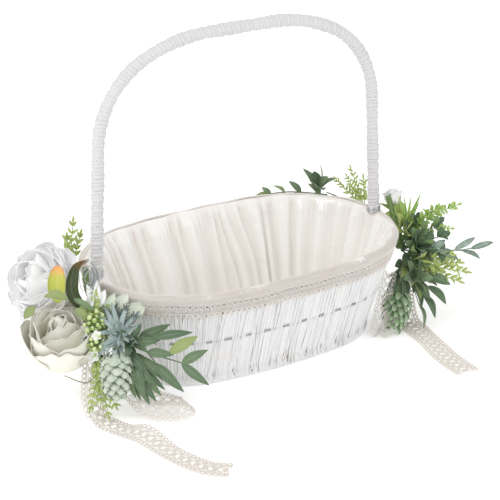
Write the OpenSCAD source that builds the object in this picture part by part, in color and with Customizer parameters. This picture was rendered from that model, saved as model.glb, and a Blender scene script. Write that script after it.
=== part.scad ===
// Flower girl basket in millimetres: an oval flared wicker basket on a flat base, with a wrapped
// bail handle, a satin lining, a lace rim and a spray of artificial flowers at each handle foot.
// +Z is up, +X runs along the basket, and the origin is at the middle of the base underside.

/* [Basket body] */
// Half length of the rim, over the lace
rim_half_length = 135; // [132:1:140]
// Half width of the rim, over the lace
rim_half_width = 86; // [85:1:88]
// Radius of the rim's rounded ends
rim_end_radius = 82; // [80:1:83]
// Height of the wall, up to the top of the lace
wall_height = 84; // [82:1:88]
// How far the wall leans out from its foot to its rim
wall_flare = 26; // [24:1:28]
// Number of upright stakes in the wall
stake_count = 42; // [40:2:42]

/* [Handle] */
// Height of the handle rod's centre line at the crown
handle_top = 260; // [245:1:280]
// Inward lean of the handle legs, in degrees
leg_lean = 3; // [1:0.5:5]
// Bend radius of the handle's shoulders
shoulder_radius = 72; // [66:1:76]
// Bend radius of the crown
crown_radius = 130; // [110:5:140]
// Slope where the shoulder meets the crown, in degrees
crown_slope = 25; // [20:1:30]
// Radius of the handle rod
rod_radius = 1.6; // [1.4:0.1:1.7]
// Outer radius of the cord wrapped round the rod
wrap_radius = 5; // [4:0.25:5.5]

/* [Lace] */
// Depth of the lace band that hangs outside the rim
lace_depth = 18; // [12:1:22]
// Width of the lace ribbon in the tails and loops
ribbon_width = 18; // [14:1:19]

/* [Flowers] */
// Radius of the peony over its outer petals
peony_radius = 25; // [20:0.5:25.5]
// Radius of the rose over its outer petals
rose_radius = 21.5; // [18:0.5:22]
// Thickness of a leaf blade
leaf_thickness = 0.7; // [0.5:0.1:0.9]

/* [Hidden] */
$fn = 48;

// Rods and hoops are drawn with this many flats.
rod_flats = 12;

// The oval is four tangent arcs: two ends of rim_end_radius and two flatter sides.
end_centre = rim_half_length - rim_end_radius;
side_radius = (pow(end_centre, 2) + pow(rim_half_width, 2) - pow(rim_end_radius, 2))
    / (2 * (rim_half_width - rim_end_radius));
side_centre = side_radius - rim_half_width;
end_sweep = atan2(side_centre, end_centre);
side_sweep = 180 - 2 * end_sweep;
end_length = rim_end_radius * 2 * end_sweep * PI / 180;
side_length = side_radius * side_sweep * PI / 180;
wall_lean = atan(wall_flare / wall_height);

// Wall layers, each measured inwards from the outer face of the lace.
clearance = 0.2;
lace_thickness = 1;
weave_gap = lace_thickness + clearance;
weave_thickness = 2;
stake_radius = 1;
stake_inset = weave_gap + weave_thickness + clearance + stake_radius;
mid_hoop_radius = 1.5;
mid_hoop_height = wall_height / 2;
mid_hoop_inset = stake_inset + stake_radius + clearance + mid_hoop_radius;
rod_inset = weave_gap + weave_thickness + rod_radius + clearance;

base_hoop_radius = 2.4;
base_hoop_inset = 28;
board_inset = 30.6;
pad_inset = 31.2;
rim_hoop_radius = 2.2;
rim_hoop_inset = 4.8;
rim_hoop_height = wall_height - 3.8;
weave_bottom = 2 * base_hoop_radius + 0.4;
weave_top = rim_hoop_height - rim_hoop_radius - 0.4;
board_thickness = 3;
pad_top = 6.2;
satin_thickness = 0.8;
satin_floor = pad_top + clearance;
satin_top = wall_height - 1.6;
satin_foot_inset = board_inset - 0.4;
satin_waist_inset = 21.9;
satin_neck_inset = 9.4;
satin_neck_drop = 8;
satin_rim_inset = 8.4;
lip_inset = 10;
lip_depth = 5.5;

bend_height = rim_hoop_height;
rod_x = rim_half_length + face(bend_height) - rod_inset;
rod_foot_height = mid_hoop_height + 4;
hoop_gap = 2 * rod_radius + 1.2;

// Rise and run of each stretch of the handle, from the bend at the rim to the crown.
shoulder_turn = 90 - leg_lean - crown_slope;
shoulder_rise = shoulder_radius * (cos(crown_slope) - sin(leg_lean));
shoulder_run = shoulder_radius * (cos(leg_lean) - sin(crown_slope));
crown_rise = crown_radius * (1 - cos(crown_slope));
crown_run = crown_radius * sin(crown_slope);
shoulder_steps = 9;
crown_steps = 4;
leg_rise = handle_top - bend_height - shoulder_rise - crown_rise;
leg_run = leg_rise * tan(leg_lean);
flat_half = rod_x - leg_run - shoulder_run - crown_run;
shoulder_x = rod_x - leg_run;
shoulder_z = bend_height + leg_rise;

// Hubs of the two sprays, and the directions that face away from the wall there.
left_hub = [-131, -44, 52];
right_hub = [138, -26, 64];
stem_radius = 0.8;
// The ball at a bend in a rod is this much wider than the rod.
knee = 1.06;
facing = -32;

peony_centre = [-170, 15, 87];
peony_facing = [-0.8, -0.35, 0.45];
rose_centre = [-174, -22, 58];
rose_facing = [-0.5, -0.75, 0.4];

// Outer face of the lace at height z, measured from the rim's outline.
function face(z) = -wall_flare * (1 - z / wall_height);

// Arc of the oval that holds a place s along the rim: [centre x, centre y, radius, angle].
function oval_place(s) =
    s < end_length
        ? [end_centre, 0, rim_end_radius, s / rim_end_radius * 180 / PI - end_sweep]
    : s < end_length + side_length
        ? [0, -side_centre, side_radius, end_sweep + (s - end_length) / side_radius * 180 / PI]
    : let (back = oval_place(s - end_length - side_length))
        [-back[0], -back[1], back[2], back[3] + 180];

// Sweeps a profile of [offset, height] round the whole oval.
module oval_sweep() {
    for (turn = [0, 180]) rotate([0, 0, turn]) {
        translate([end_centre, 0, 0])
            rotate([0, 0, -end_sweep])
                rotate_extrude(angle = 2 * end_sweep, $fn = 96)
                    translate([rim_end_radius, 0]) children();
        translate([0, -side_centre, 0])
            rotate([0, 0, end_sweep])
                rotate_extrude(angle = side_sweep, $fn = 360)
                    translate([side_radius, 0]) children();
    }
}

// Filled oval, offset from the rim's outline.
module oval_plate(offset) {
    tangent_x = end_centre + (rim_end_radius + offset) * cos(end_sweep);
    for (side = [-1, 1])
        translate([side * end_centre, 0]) circle(r = rim_end_radius + offset, $fn = 96);
    intersection() {
        square([2 * tangent_x, 2 * rim_half_width], center = true);
        translate([0, -side_centre]) circle(r = side_radius + offset, $fn = 360);
        translate([0, side_centre]) circle(r = side_radius + offset, $fn = 360);
    }
}

// Profile of a wall layer between two heights.
module wall_profile(bottom, top, inset, thickness) {
    polygon([
        [face(bottom) - inset, bottom],
        [face(top) - inset, top],
        [face(top) - inset - thickness, top],
        [face(bottom) - inset - thickness, bottom]
    ]);
}

// Rim hoop, kept on one side of the handle.
module rim_hoop_half(side) {
    cutter = 4 * rim_half_length;
    difference() {
        oval_sweep() translate([-rim_hoop_inset, rim_hoop_height])
            circle(r = rim_hoop_radius, $fn = rod_flats);
        translate([-cutter / 2, side < 0 ? -hoop_gap / 2 : hoop_gap / 2 - cutter, 0])
            cube([cutter, cutter, 2 * wall_height]);
    }
}

// Centre line of the handle's right half as [x, z, slope], from a height up to the crown.
function handle_line(bottom) = concat(
    [[shoulder_x + (shoulder_z - bottom) * tan(leg_lean), bottom, leg_lean]],
    [for (i = [0 : shoulder_steps])
        let (turn = leg_lean + shoulder_turn * i / shoulder_steps)
        [shoulder_x + shoulder_radius * (cos(turn) - cos(leg_lean)),
         shoulder_z + shoulder_radius * (sin(turn) - sin(leg_lean)), turn]],
    [for (i = [1 : crown_steps])
        let (turn = 90 - crown_slope + crown_slope * i / crown_steps)
        [flat_half + crown_radius * cos(turn), handle_top + crown_radius * (sin(turn) - 1), turn]]
);

// Both halves of a line of [x, z, slope] points, from the right foot over to the left foot.
function whole_line(half) = concat(
    half,
    [for (i = [len(half) - 1 : -1 : 0]) [-half[i][0], half[i][1], 180 - half[i][2]]]
);

// Rings of points round a line of [x, z, slope] points.
function rings(line, radius) = [
    for (p = line, i = [0 : rod_flats - 1])
        let (a = 360 * i / rod_flats)
        [p[0] + radius * cos(a) * cos(p[2]), radius * sin(a), p[1] + radius * cos(a) * sin(p[2])]
];

// Corners of the quad at side i of step k, within the rings that start at point first.
function quad(k, i, first) = let (j = (i + 1) % rod_flats)
    [first + k * rod_flats + i, first + k * rod_flats + j,
     first + (k + 1) * rod_flats + j, first + (k + 1) * rod_flats + i];

function reversed(list) = [for (i = [len(list) - 1 : -1 : 0]) list[i]];

// Solid rod along a line of [x, z, slope] points.
module swept_rod(line, radius) {
    last = len(line) - 1;
    polyhedron(rings(line, radius), concat(
        [for (k = [0 : last - 1], i = [0 : rod_flats - 1]) reversed(quad(k, i, 0))],
        [[for (i = [0 : rod_flats - 1]) i]],
        [[for (i = [rod_flats - 1 : -1 : 0]) last * rod_flats + i]]
    ));
}

// Hollow tube along a line of [x, z, slope] points.
module swept_tube(line, radius, bore) {
    last = len(line) - 1;
    inner = len(line) * rod_flats;
    polyhedron(concat(rings(line, radius), rings(line, bore)), concat(
        [for (k = [0 : last - 1], i = [0 : rod_flats - 1]) reversed(quad(k, i, 0))],
        [for (k = [0 : last - 1], i = [0 : rod_flats - 1]) quad(k, i, inner)],
        [for (i = [0 : rod_flats - 1]) let (j = (i + 1) % rod_flats) [i, j, inner + j, inner + i]],
        [for (i = [0 : rod_flats - 1])
            let (j = (i + 1) % rod_flats, end = last * rod_flats)
            [end + j, end + i, inner + end + i, inner + end + j]]
    ));
}

module both_ends() {
    children();
    mirror([1, 0, 0]) children();
}

// Lays children, which run along +X from the origin, from one point towards another.
module aim(from, to, roll = 0) {
    d = to - from;
    translate(from)
        rotate([0, -atan2(d[2], norm([d[0], d[1]])), atan2(d[1], d[0])])
            rotate([roll, 0, 0]) children();
}

module rod(from, to, radius) {
    aim(from, to) rotate([0, 90, 0]) cylinder(r = radius, h = norm(to - from), $fn = 16);
}

// Rod through a list of points, rounded at each.
module bent_rod(points, radius) {
    for (i = [1 : len(points) - 1]) rod(points[i - 1], points[i], radius);
    for (p = points) translate(p) sphere(r = radius * knee, $fn = 16);
}

// Pointed leaf that starts at the origin and runs along +X.
module blade(length, width) {
    arc = (pow(length, 2) + pow(width, 2)) / (4 * width);
    linear_extrude(leaf_thickness, center = true)
        intersection() {
            translate([length / 2, arc - width / 2]) circle(r = arc);
            translate([length / 2, width / 2 - arc]) circle(r = arc);
        }
}

// Stem with pairs of leaves and one leaf at its tip.
module sprig(root, tip, pairs, leaf_length, leaf_width, spread = 45, roll = 90) {
    reach = norm(tip - root) - leaf_length * 0.7;
    rod(root, root + (tip - root) * (reach + 2) / norm(tip - root), stem_radius);
    aim(root, tip, roll) {
        translate([reach, 0, 0]) blade(leaf_length * 0.7, leaf_width);
        for (i = [1 : pairs], side = [-1, 1])
            translate([reach * i / (pairs + 0.4), 0, 0])
                rotate([0, 0, side * spread]) blade(leaf_length, leaf_width);
    }
}

// Leaves that spread like a fan from one point, towards each listed tip.
module fan(root, tips, width, roll = 90) {
    ball = 2.4;
    inset = 1.4;
    translate(root) sphere(r = ball, $fn = 16);
    for (tip = tips)
        aim(root, tip, roll) translate([inset, 0, 0]) blade(norm(tip - root) - inset, width);
}

// Open cup of petals, with room for the heart, that faces along a direction.
module petal_cup(centre, direction, radius, room) {
    mouth = room * 0.9;
    aim(centre, centre + direction) rotate([0, 90, 0]) rotate_extrude() difference() {
        circle(r = radius);
        circle(r = room);
        square([mouth, radius + 1]);
        translate([-radius, -radius]) square([radius, 2 * radius]);
    }
}

// Scaly cone from one point to another.
module scaly_cone(from, to, radius) {
    length = norm(to - from);
    arc = (pow(length, 2) / 4 + pow(radius, 2)) / (2 * radius);
    blunt = 0.8;
    aim(from, to) rotate([0, 90, 0]) rotate_extrude()
        intersection() {
            translate([radius - arc, length / 2]) circle(r = arc, $fn = 96);
            translate([0, blunt]) square([radius, length - 2 * blunt]);
        }
}

// Balls spread evenly over a round cluster.
module ball_cluster(centre, radius, count, ball) {
    golden_turn = 137.5;
    translate(centre) for (i = [0 : count - 1]) {
        height = 1 - (2 * i + 1) / count;
        turn = i * golden_turn;
        translate((radius - ball) * [
            sqrt(1 - pow(height, 2)) * cos(turn), sqrt(1 - pow(height, 2)) * sin(turn), height
        ]) sphere(r = ball, $fn = 16);
    }
}

// Five-petalled blossom as a shallow disc on a short stem, facing along a direction.
module blossom(centre, direction, radius) {
    aim(centre, centre + direction) rotate([0, 90, 0]) {
        translate([0, 0, -3]) cylinder(r1 = 0.8, r2 = radius * 0.5, h = 3);
        cylinder(r = radius, h = 1.2);
    }
}

// Closed loop of ribbon: a thin ring with round ends, as long and deep as given.
module ribbon_loop(length, depth, width) {
    linear_extrude(width) difference() {
        stadium(length, depth);
        stadium(length - 2 * lace_thickness, depth - 2 * lace_thickness);
    }
}

module stadium(length, depth) {
    square([length - depth, depth], center = true);
    for (side = [-1, 1]) translate([side * (length - depth) / 2, 0]) circle(d = depth);
}

// Flat strip of ribbon from one point to another, its face turned by roll.
module ribbon_strip(from, to, width, roll) {
    aim(from, to, roll)
        translate([0, -width / 2, -lace_thickness / 2])
            cube([norm(to - from), width, lace_thickness]);
}

module base_board() {
    color("tan") linear_extrude(board_thickness) oval_plate(-board_inset);
}

module base_hoop() {
    color("whitesmoke") oval_sweep()
        translate([-base_hoop_inset, base_hoop_radius]) circle(r = base_hoop_radius, $fn = rod_flats);
}

module mid_hoop() {
    color("whitesmoke") oval_sweep()
        translate([face(mid_hoop_height) - mid_hoop_inset, mid_hoop_height])
            circle(r = mid_hoop_radius, $fn = rod_flats);
}

module rim_hoop_front() {
    color("whitesmoke") rim_hoop_half(-1);
}

module rim_hoop_back() {
    color("whitesmoke") rim_hoop_half(1);
}

module wall_stakes() {
    bottom = weave_bottom + 0.2;
    top = weave_top - 0.4;
    spacing = 2 * (end_length + side_length) / stake_count;
    color("whitesmoke") for (i = [0 : stake_count - 1]) {
        place = oval_place(i * spacing);
        translate([place[0], place[1], bottom]) rotate([0, 0, place[3]])
            translate([place[2] + face(bottom) - stake_inset, 0, 0])
                rotate([0, wall_lean, 0])
                    cylinder(r = stake_radius, h = (top - bottom) / cos(wall_lean), $fn = 16);
    }
}

module lower_weave() {
    color("white") oval_sweep()
        wall_profile(weave_bottom, mid_hoop_height - 0.1, weave_gap, weave_thickness);
}

module upper_weave() {
    color("white") oval_sweep()
        wall_profile(mid_hoop_height + 0.1, weave_top, weave_gap, weave_thickness);
}

module floor_pad() {
    color("white") translate([0, 0, board_thickness + clearance])
        linear_extrude(pad_top - board_thickness - clearance) oval_plate(-pad_inset);
}

module satin_lining() {
    outline = [
        [-satin_foot_inset, satin_floor],
        [-satin_waist_inset, mid_hoop_height],
        [-satin_neck_inset, wall_height - satin_neck_drop],
        [-satin_rim_inset, satin_top]
    ];
    inside = [for (i = [3, 2, 1, 0]) outline[i] - [satin_thickness, 0]];
    color("ivory") {
        oval_sweep() polygon(concat(outline, inside));
        translate([0, 0, satin_floor]) linear_extrude(satin_thickness) oval_plate(-board_inset);
    }
}

module rim_lace() {
    lip_outer = -lip_inset;
    lip_inner = lip_outer - satin_thickness;
    band_bottom = wall_height - lace_depth;
    top_bottom = wall_height - lace_thickness;
    color("linen") difference() {
        oval_sweep() polygon([
            [face(band_bottom), band_bottom],
            [0, wall_height],
            [lip_inner, wall_height],
            [lip_inner, wall_height - lip_depth],
            [lip_outer, wall_height - lip_depth],
            [lip_outer, top_bottom],
            [face(top_bottom) - lace_thickness, top_bottom],
            [face(band_bottom) - lace_thickness, band_bottom]
        ]);
        both_ends() translate([rod_x, 0, top_bottom - 1])
            cylinder(r = rod_radius + 0.6, h = lace_thickness + 2);
    }
}

module handle_rod() {
    foot_x = rim_half_length + face(rod_foot_height) - rod_inset;
    color("silver") swept_rod(
        whole_line(concat([[foot_x, rod_foot_height, -wall_lean]], handle_line(bend_height))),
        rod_radius
    );
}

module handle_wrap() {
    color("white") swept_tube(
        whole_line(handle_line(wall_height + 0.3)), wrap_radius, rod_radius + clearance
    );
}

module handle_binding() {
    turns = 4;
    wire = 0.55;
    color("silver") for (i = [0 : turns - 1]) {
        height = wall_height + 1.6 + i * 2 * wire;
        translate([rod_x - (height - bend_height) * tan(leg_lean), 0, height])
            rotate([0, -leg_lean, 0]) rotate_extrude()
                translate([wrap_radius + wire + 0.1, 0]) circle(r = wire, $fn = 16);
    }
}

module left_handle_binding() {
    mirror([1, 0, 0]) handle_binding();
}

module right_handle_binding() {
    handle_binding();
}

module left_stem_bundle() {
    color("olivedrab") {
        translate(left_hub) sphere(r = 7);
        bent_rod([left_hub, [-141, -13, 78], [-139.5, -4, 97]], 3);
    }
}

module left_peony_petals() {
    color("white") petal_cup(peony_centre, peony_facing, peony_radius, peony_radius * 0.6);
}

module left_peony_heart() {
    color("ivory") translate(peony_centre) sphere(r = peony_radius * 0.6 - clearance);
}

module left_rose_petals() {
    color("ivory") petal_cup(rose_centre, rose_facing, rose_radius, rose_radius * 0.6);
}

module left_rose_heart() {
    color("lemonchiffon") translate(rose_centre) sphere(r = rose_radius * 0.6 - clearance);
}

module left_calyx_leaf() {
    color("yellowgreen") aim([-166, -28, 82], [-166, -24, 111], 90) blade(29, 14);
}

module left_curled_leaf() {
    color("darkolivegreen") {
        aim([-149, -30, 80], [-155, -26, 100], 90) blade(22, 11);
        aim([-155, -26, 98], [-149, -27, 112], 90) blade(15, 7);
    }
}

module left_rose_leaves() {
    color("olivedrab") {
        aim([-162, -48, 44], [-176, -45, 30], 60) blade(22, 10);
        aim([-198, -24, 72], [-193, -13, 84], 60) blade(12, 7);
    }
}

module left_berries() {
    color("yellowgreen") ball_cluster([-149, -43, 62], 9, 16, 2.3);
}

module left_filler_blossoms() {
    color("white") {
        blossom([-162, -52, 66], [-0.5, -0.8, 0.3], 5);
        blossom([-153, -54, 43], [-0.5, -0.8, 0.2], 5);
        blossom([-150, -56, 50], [-0.4, -0.9, 0.1], 3.5);
    }
}

module left_dusty_sprig() {
    color("lightsteelblue") fan(
        [-139, -57, 57],
        [[-152, -58, 82], [-144, -62, 88], [-158, -62, 60], [-153, -66, 38], [-140, -68, 32],
         [-126, -66, 70]],
        8
    );
}

module left_rosemary() {
    color("darkslategray") sprig([-133, -54, 62], [-131, -58, 86], 6, 7, 1.6, 40);
}

module left_pale_leaf() {
    color("palegreen") aim([-132, -52, 74], [-120, -60, 92], 70) blade(22, 13);
}

module left_hop_cone() {
    color("darkseagreen") scaly_cone([-137, -49, 37], [-138, -48, 6], 11);
}

module left_olive_upper() {
    color("olivedrab") sprig([-124, -54, 52], [-90, -82, 58], 3, 19, 8, 40);
}

module left_olive_twig() {
    color("darkolivegreen") sprig([-122, -56, 44], [-82, -84, 33], 3, 17, 8, 42, 80);
}

module left_olive_lower() {
    color("darkolivegreen") fan(
        [-124, -57, 40],
        [[-101, -83, 20], [-112, -87, 15], [-122, -86, 15], [-131, -79, 17]],
        9
    );
}

module left_fern() {
    color("yellowgreen") sprig([-149, -64, 26], [-146, -72, 4], 3, 8, 2.4, 35);
}

module left_stalk() {
    color("darkolivegreen") bent_rod([[-152, -66, 30], [-161, -62, 24], [-170, -56, 23]], 0.6);
}

module left_bud_sprig() {
    color("palegreen") sprig([-139, 27, 80], [-134, 25, 122], 4, 9, 4, 35, 60);
}

module left_organza_ribbon() {
    color("gainsboro") {
        translate([-134, -3, 90]) difference() {
            cylinder(r = 13, h = 7);
            translate([0, 0, -1]) cylinder(r = 13 - satin_thickness, h = 9);
        }
        translate([-144, -22, 94]) rotate([0, 60, facing]) ribbon_loop(20, 9, 8);
    }
}

module left_lily() {
    color("white") fan([-141, -40, 80], [[-143, -42, 104], [-135, -46, 100], [-130, -42, 97]], 7);
}

module left_lace_tail() {
    color("linen") {
        ribbon_strip([-151, -44, 44], [-158, -58, 2.4], 15, 35);
        linear_extrude(lace_thickness) polygon([
            [-168, -62], [-150, -52], [-136, -96], [-126, -134], [-108, -168],
            [-123, -178], [-145, -138], [-150, -96]
        ]);
    }
}

module left_lace_loop() {
    color("linen") {
        translate([-108, -70, 0.4]) rotate([0, 0, facing]) ribbon_loop(46, 16, ribbon_width);
    }
}

module right_stem_bundle() {
    color("olivedrab") {
        translate(right_hub) sphere(r = 6);
        bent_rod([right_hub, [141, -12, 80], [140, -4, 97]], 3);
    }
}

module right_white_bud() {
    color("white") scaly_cone([147, 4, 84], [147, 0, 104], 6);
}

module right_foot_leaves() {
    color("yellowgreen") fan([148, -10, 76], [[158, -8, 92], [150, -12, 96], [162, -12, 80]], 9);
}

module right_grass() {
    foot = [143, -26, 73];
    tips = [[136, -22, 108], [144, -20, 111], [153, -24, 106], [162, -28, 98]];
    color("yellowgreen") for (tip = tips) {
        start = foot + 0.12 * (tip - foot);
        aim(start, tip) rotate([0, 90, 0])
            cylinder(r1 = 0.9, r2 = 0.4, h = norm(tip - start), $fn = 16);
    }
}

module right_rosemary() {
    color("limegreen") sprig([146, -30, 70], [180, -48, 98], 8, 8, 1.8, 45);
}

module right_boxwood() {
    color("darkgreen") {
        sprig([146, -31, 62], [176, -48, 76], 4, 13, 8, 45);
        sprig([144, -36, 58], [164, -58, 62], 3, 12, 8, 45);
    }
}

module right_dusty_twig() {
    color("slategray") sprig([146, -29, 56], [204, -64, 62], 4, 18, 5, 35);
}

module right_feathery() {
    color("darkseagreen") sprig([143, -31, 47], [180, -50, 33], 7, 10, 2, 40);
}

module right_olive_middle() {
    color("darkolivegreen") sprig([141, -33, 43], [174, -53, 14], 3, 15, 8, 40);
}

module right_olive_low() {
    color("darkolivegreen") sprig([137, -36, 44], [146, -62, 4], 4, 14, 7, 35);
}

module right_cone_tuft() {
    color("seagreen") scaly_cone([124, -44, 44], [108, -62, 6], 8);
}

module right_fern() {
    color("yellowgreen") sprig([141, 26, 78], [140, 50, 104], 4, 10, 3.4, 35);
}

module right_back_sprig() {
    color("darkolivegreen") {
        rod([139, 30, 78], [124, 62, 82], stem_radius);
        sprig([124, 60.5, 81.6], [72, 93, 88], 4, 13, 7, 40);
    }
}

module right_lace_tail() {
    color("linen") {
        ribbon_strip([131, -34, 39], [131, -39, 2.4], 12, 45);
        linear_extrude(lace_thickness) polygon([
            [142, -38], [134, -92], [126, -142], [110, -146], [107, -110], [110, -86], [122, -44]
        ]);
    }
}

module right_lace_loop() {
    color("linen") translate([99, -66, 20]) rotate([90, 90, facing])
        translate([0, 0, -7]) ribbon_loop(38, 14, 14);
}

base_board();
base_hoop();
mid_hoop();
rim_hoop_front();
rim_hoop_back();
wall_stakes();
lower_weave();
upper_weave();
floor_pad();
satin_lining();
rim_lace();
handle_rod();
handle_wrap();
left_handle_binding();
right_handle_binding();
left_stem_bundle();
left_peony_petals();
left_peony_heart();
left_rose_petals();
left_rose_heart();
left_calyx_leaf();
left_curled_leaf();
left_rose_leaves();
left_berries();
left_filler_blossoms();
left_dusty_sprig();
left_rosemary();
left_pale_leaf();
left_hop_cone();
left_olive_upper();
left_olive_twig();
left_olive_lower();
left_fern();
left_stalk();
left_bud_sprig();
left_organza_ribbon();
left_lily();
left_lace_tail();
left_lace_loop();
right_stem_bundle();
right_white_bud();
right_foot_leaves();
right_grass();
right_rosemary();
right_boxwood();
right_dusty_twig();
right_feathery();
right_olive_middle();
right_olive_low();
right_cone_tuft();
right_fern();
right_back_sprig();
right_lace_tail();
right_lace_loop();
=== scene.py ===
"""Flower girl basket: its looks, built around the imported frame.

Metres throughout, in the frame's own axes: +Z up, +X along the basket, the origin at the middle of the
base's underside. Wicker strands, lace threads, satin folds, petals and leaves are all real geometry.
"""

import math

import bpy
import numpy as np
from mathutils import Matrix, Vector


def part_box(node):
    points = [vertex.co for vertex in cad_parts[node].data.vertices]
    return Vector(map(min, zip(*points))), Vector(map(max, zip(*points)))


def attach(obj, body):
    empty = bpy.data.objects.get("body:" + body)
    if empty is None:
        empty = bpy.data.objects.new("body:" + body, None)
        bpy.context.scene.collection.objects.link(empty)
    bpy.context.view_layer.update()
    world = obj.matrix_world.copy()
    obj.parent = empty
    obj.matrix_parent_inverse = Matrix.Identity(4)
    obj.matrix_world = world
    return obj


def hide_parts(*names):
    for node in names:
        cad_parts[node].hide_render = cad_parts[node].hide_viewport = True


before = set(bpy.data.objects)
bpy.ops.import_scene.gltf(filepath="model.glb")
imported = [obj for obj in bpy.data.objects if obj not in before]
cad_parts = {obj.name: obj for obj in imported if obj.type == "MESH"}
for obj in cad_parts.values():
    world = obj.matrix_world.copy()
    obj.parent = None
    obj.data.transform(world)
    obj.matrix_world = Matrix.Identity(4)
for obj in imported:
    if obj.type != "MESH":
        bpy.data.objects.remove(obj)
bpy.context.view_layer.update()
MM = 0.001

# ---------------------------------------------------------------- sizes taken from the frame


def spot(node, x, y, z):
    """A point inside a CAD node's box, given as fractions of the box from its lowest corner."""
    low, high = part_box(node)
    return np.array([low[i] + (high[i] - low[i]) * f for i, f in enumerate((x, y, z))])


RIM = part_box("rim_lace")[1]
WALL_HEIGHT = RIM.z
RIM_END_RADIUS = 82 * MM
WALL_FLARE = 26 * MM
WALL_LEAN = math.atan(WALL_FLARE / WALL_HEIGHT)
STAKES = 42

# The rim's outline is four tangent arcs: two ends and two flatter sides.
END_CENTRE = RIM.x - RIM_END_RADIUS
SIDE_RADIUS = (END_CENTRE**2 + RIM.y**2 - RIM_END_RADIUS**2) / (2 * (RIM.y - RIM_END_RADIUS))
SIDE_CENTRE = SIDE_RADIUS - RIM.y
END_SWEEP = math.atan2(SIDE_CENTRE, END_CENTRE)
END_LENGTH = RIM_END_RADIUS * 2 * END_SWEEP
SIDE_LENGTH = SIDE_RADIUS * (math.pi - 2 * END_SWEEP)
PERIMETER = 2 * (END_LENGTH + SIDE_LENGTH)
SPACING = PERIMETER / STAKES

MID_HEIGHT = WALL_HEIGHT / 2
HOOP_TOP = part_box("base_hoop")[1].z
SATIN_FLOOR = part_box("satin_lining")[0].z
BOARD_INSET = RIM.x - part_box("base_board")[1].x
WRAP_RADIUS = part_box("handle_wrap")[1].y
HANDLE_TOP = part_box("handle_wrap")[1].z - WRAP_RADIUS
HANDLE_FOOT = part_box("handle_wrap")[0].z
HANDLE_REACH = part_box("handle_wrap")[1].x - WRAP_RADIUS

# Ways that the sprays face, away from the basket.
OUT_LEFT = np.array([-0.62, -0.62, 0.48])
OUT_RIGHT = np.array([0.25, -0.80, 0.55])
UP = np.array([0.0, 0.0, 1.0])
GOLDEN_ANGLE = math.radians(137.5)


def face(z):
    """Offset of the wall's outer face from the rim's outline at height z."""
    return -WALL_FLARE * (1 - z / WALL_HEIGHT)


def outline(s, offset, z):
    """Points at arc positions s along the rim's outline, moved outwards by offset, at height z."""
    s, offset, z = np.broadcast_arrays(*(np.asarray(a, float) for a in (s, offset, z)))
    t = np.mod(s, PERIMETER)
    back = t >= PERIMETER / 2
    t = np.where(back, t - PERIMETER / 2, t)
    on_end = t < END_LENGTH
    angle = np.where(
        on_end, t / RIM_END_RADIUS - END_SWEEP, END_SWEEP + (t - END_LENGTH) / SIDE_RADIUS
    )
    radius = np.where(on_end, RIM_END_RADIUS, SIDE_RADIUS) + offset
    x = np.where(on_end, END_CENTRE, 0) + radius * np.cos(angle)
    y = np.where(on_end, 0, -SIDE_CENTRE) + radius * np.sin(angle)
    turn = np.where(back, -1, 1)
    return np.stack([x * turn, y * turn, z], -1)


# ---------------------------------------------------------------- mesh helpers


def unit(v):
    v = np.asarray(v, float)
    return v / np.maximum(np.linalg.norm(v, axis=-1, keepdims=True), 1e-12)


def smooth(x):
    x = np.clip(x, 0, 1)
    return x * x * (3 - 2 * x)


def bump(x, width):
    return np.exp(-((x / width) ** 2))


class Shape:
    """Gathers the points and faces of one mesh, with a tint, an along and an across at each point."""

    def __init__(self):
        self.points, self.faces, self.marks, self.count = [], [], [], 0

    def add(self, points, faces, tint=0.5, along=0.0, across=0.0):
        points = np.asarray(points, float).reshape(-1, 3)
        self.points.append(points)
        self.faces += [np.asarray(f) + self.count for f in faces]
        marks = [np.broadcast_to(np.asarray(m, float).ravel(), len(points)) for m in (tint, along, across)]
        self.marks.append(np.stack(marks, -1))
        self.count += len(points)

    def mesh(self, name):
        """The points and faces as one mesh, with the three marks as attributes for the materials."""
        mesh = bpy.data.meshes.new(name)
        points = np.concatenate(self.points)
        sizes = np.concatenate([np.full(len(f), f.shape[1]) for f in self.faces])
        corners = np.concatenate([f.ravel() for f in self.faces])
        mesh.vertices.add(len(points))
        mesh.vertices.foreach_set("co", points.astype(np.float32).ravel())
        mesh.loops.add(len(corners))
        mesh.loops.foreach_set("vertex_index", corners.astype(np.int32))
        mesh.polygons.add(len(sizes))
        starts = np.concatenate([[0], np.cumsum(sizes)[:-1]])
        mesh.polygons.foreach_set("loop_start", starts.astype(np.int32))
        mesh.update(calc_edges=True)
        mesh.validate()
        marks = np.concatenate(self.marks).astype(np.float32)
        for i, mark in enumerate(("tint", "along", "across")):
            layer = mesh.attributes.new(mark, "FLOAT", "POINT")
            layer.data.foreach_set("value", np.ascontiguousarray(marks[:, i]))
        mesh.shade_smooth()
        return mesh

    def build(self, name, finish, node):
        """Makes the object in a finish, rides it on the basket, and lets it stand for its CAD node."""
        material = FINISHES[finish]
        mesh = self.mesh(name)
        mesh.materials.append(material)
        piece = bpy.data.objects.new(name, mesh)
        bpy.context.scene.collection.objects.link(piece)
        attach(piece, "root")
        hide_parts(node)
        return piece


def grid_faces(rows, cols, around=False):
    """Quads of a grid of points, rows by cols; around joins the last column to the first."""
    j = np.arange(cols if around else cols - 1)
    a = np.arange(rows - 1)[:, None] * cols + j
    b = np.arange(rows - 1)[:, None] * cols + (j + 1) % cols
    return np.stack([a, b, b + cols, a + cols], -1).reshape(-1, 4)


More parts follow.
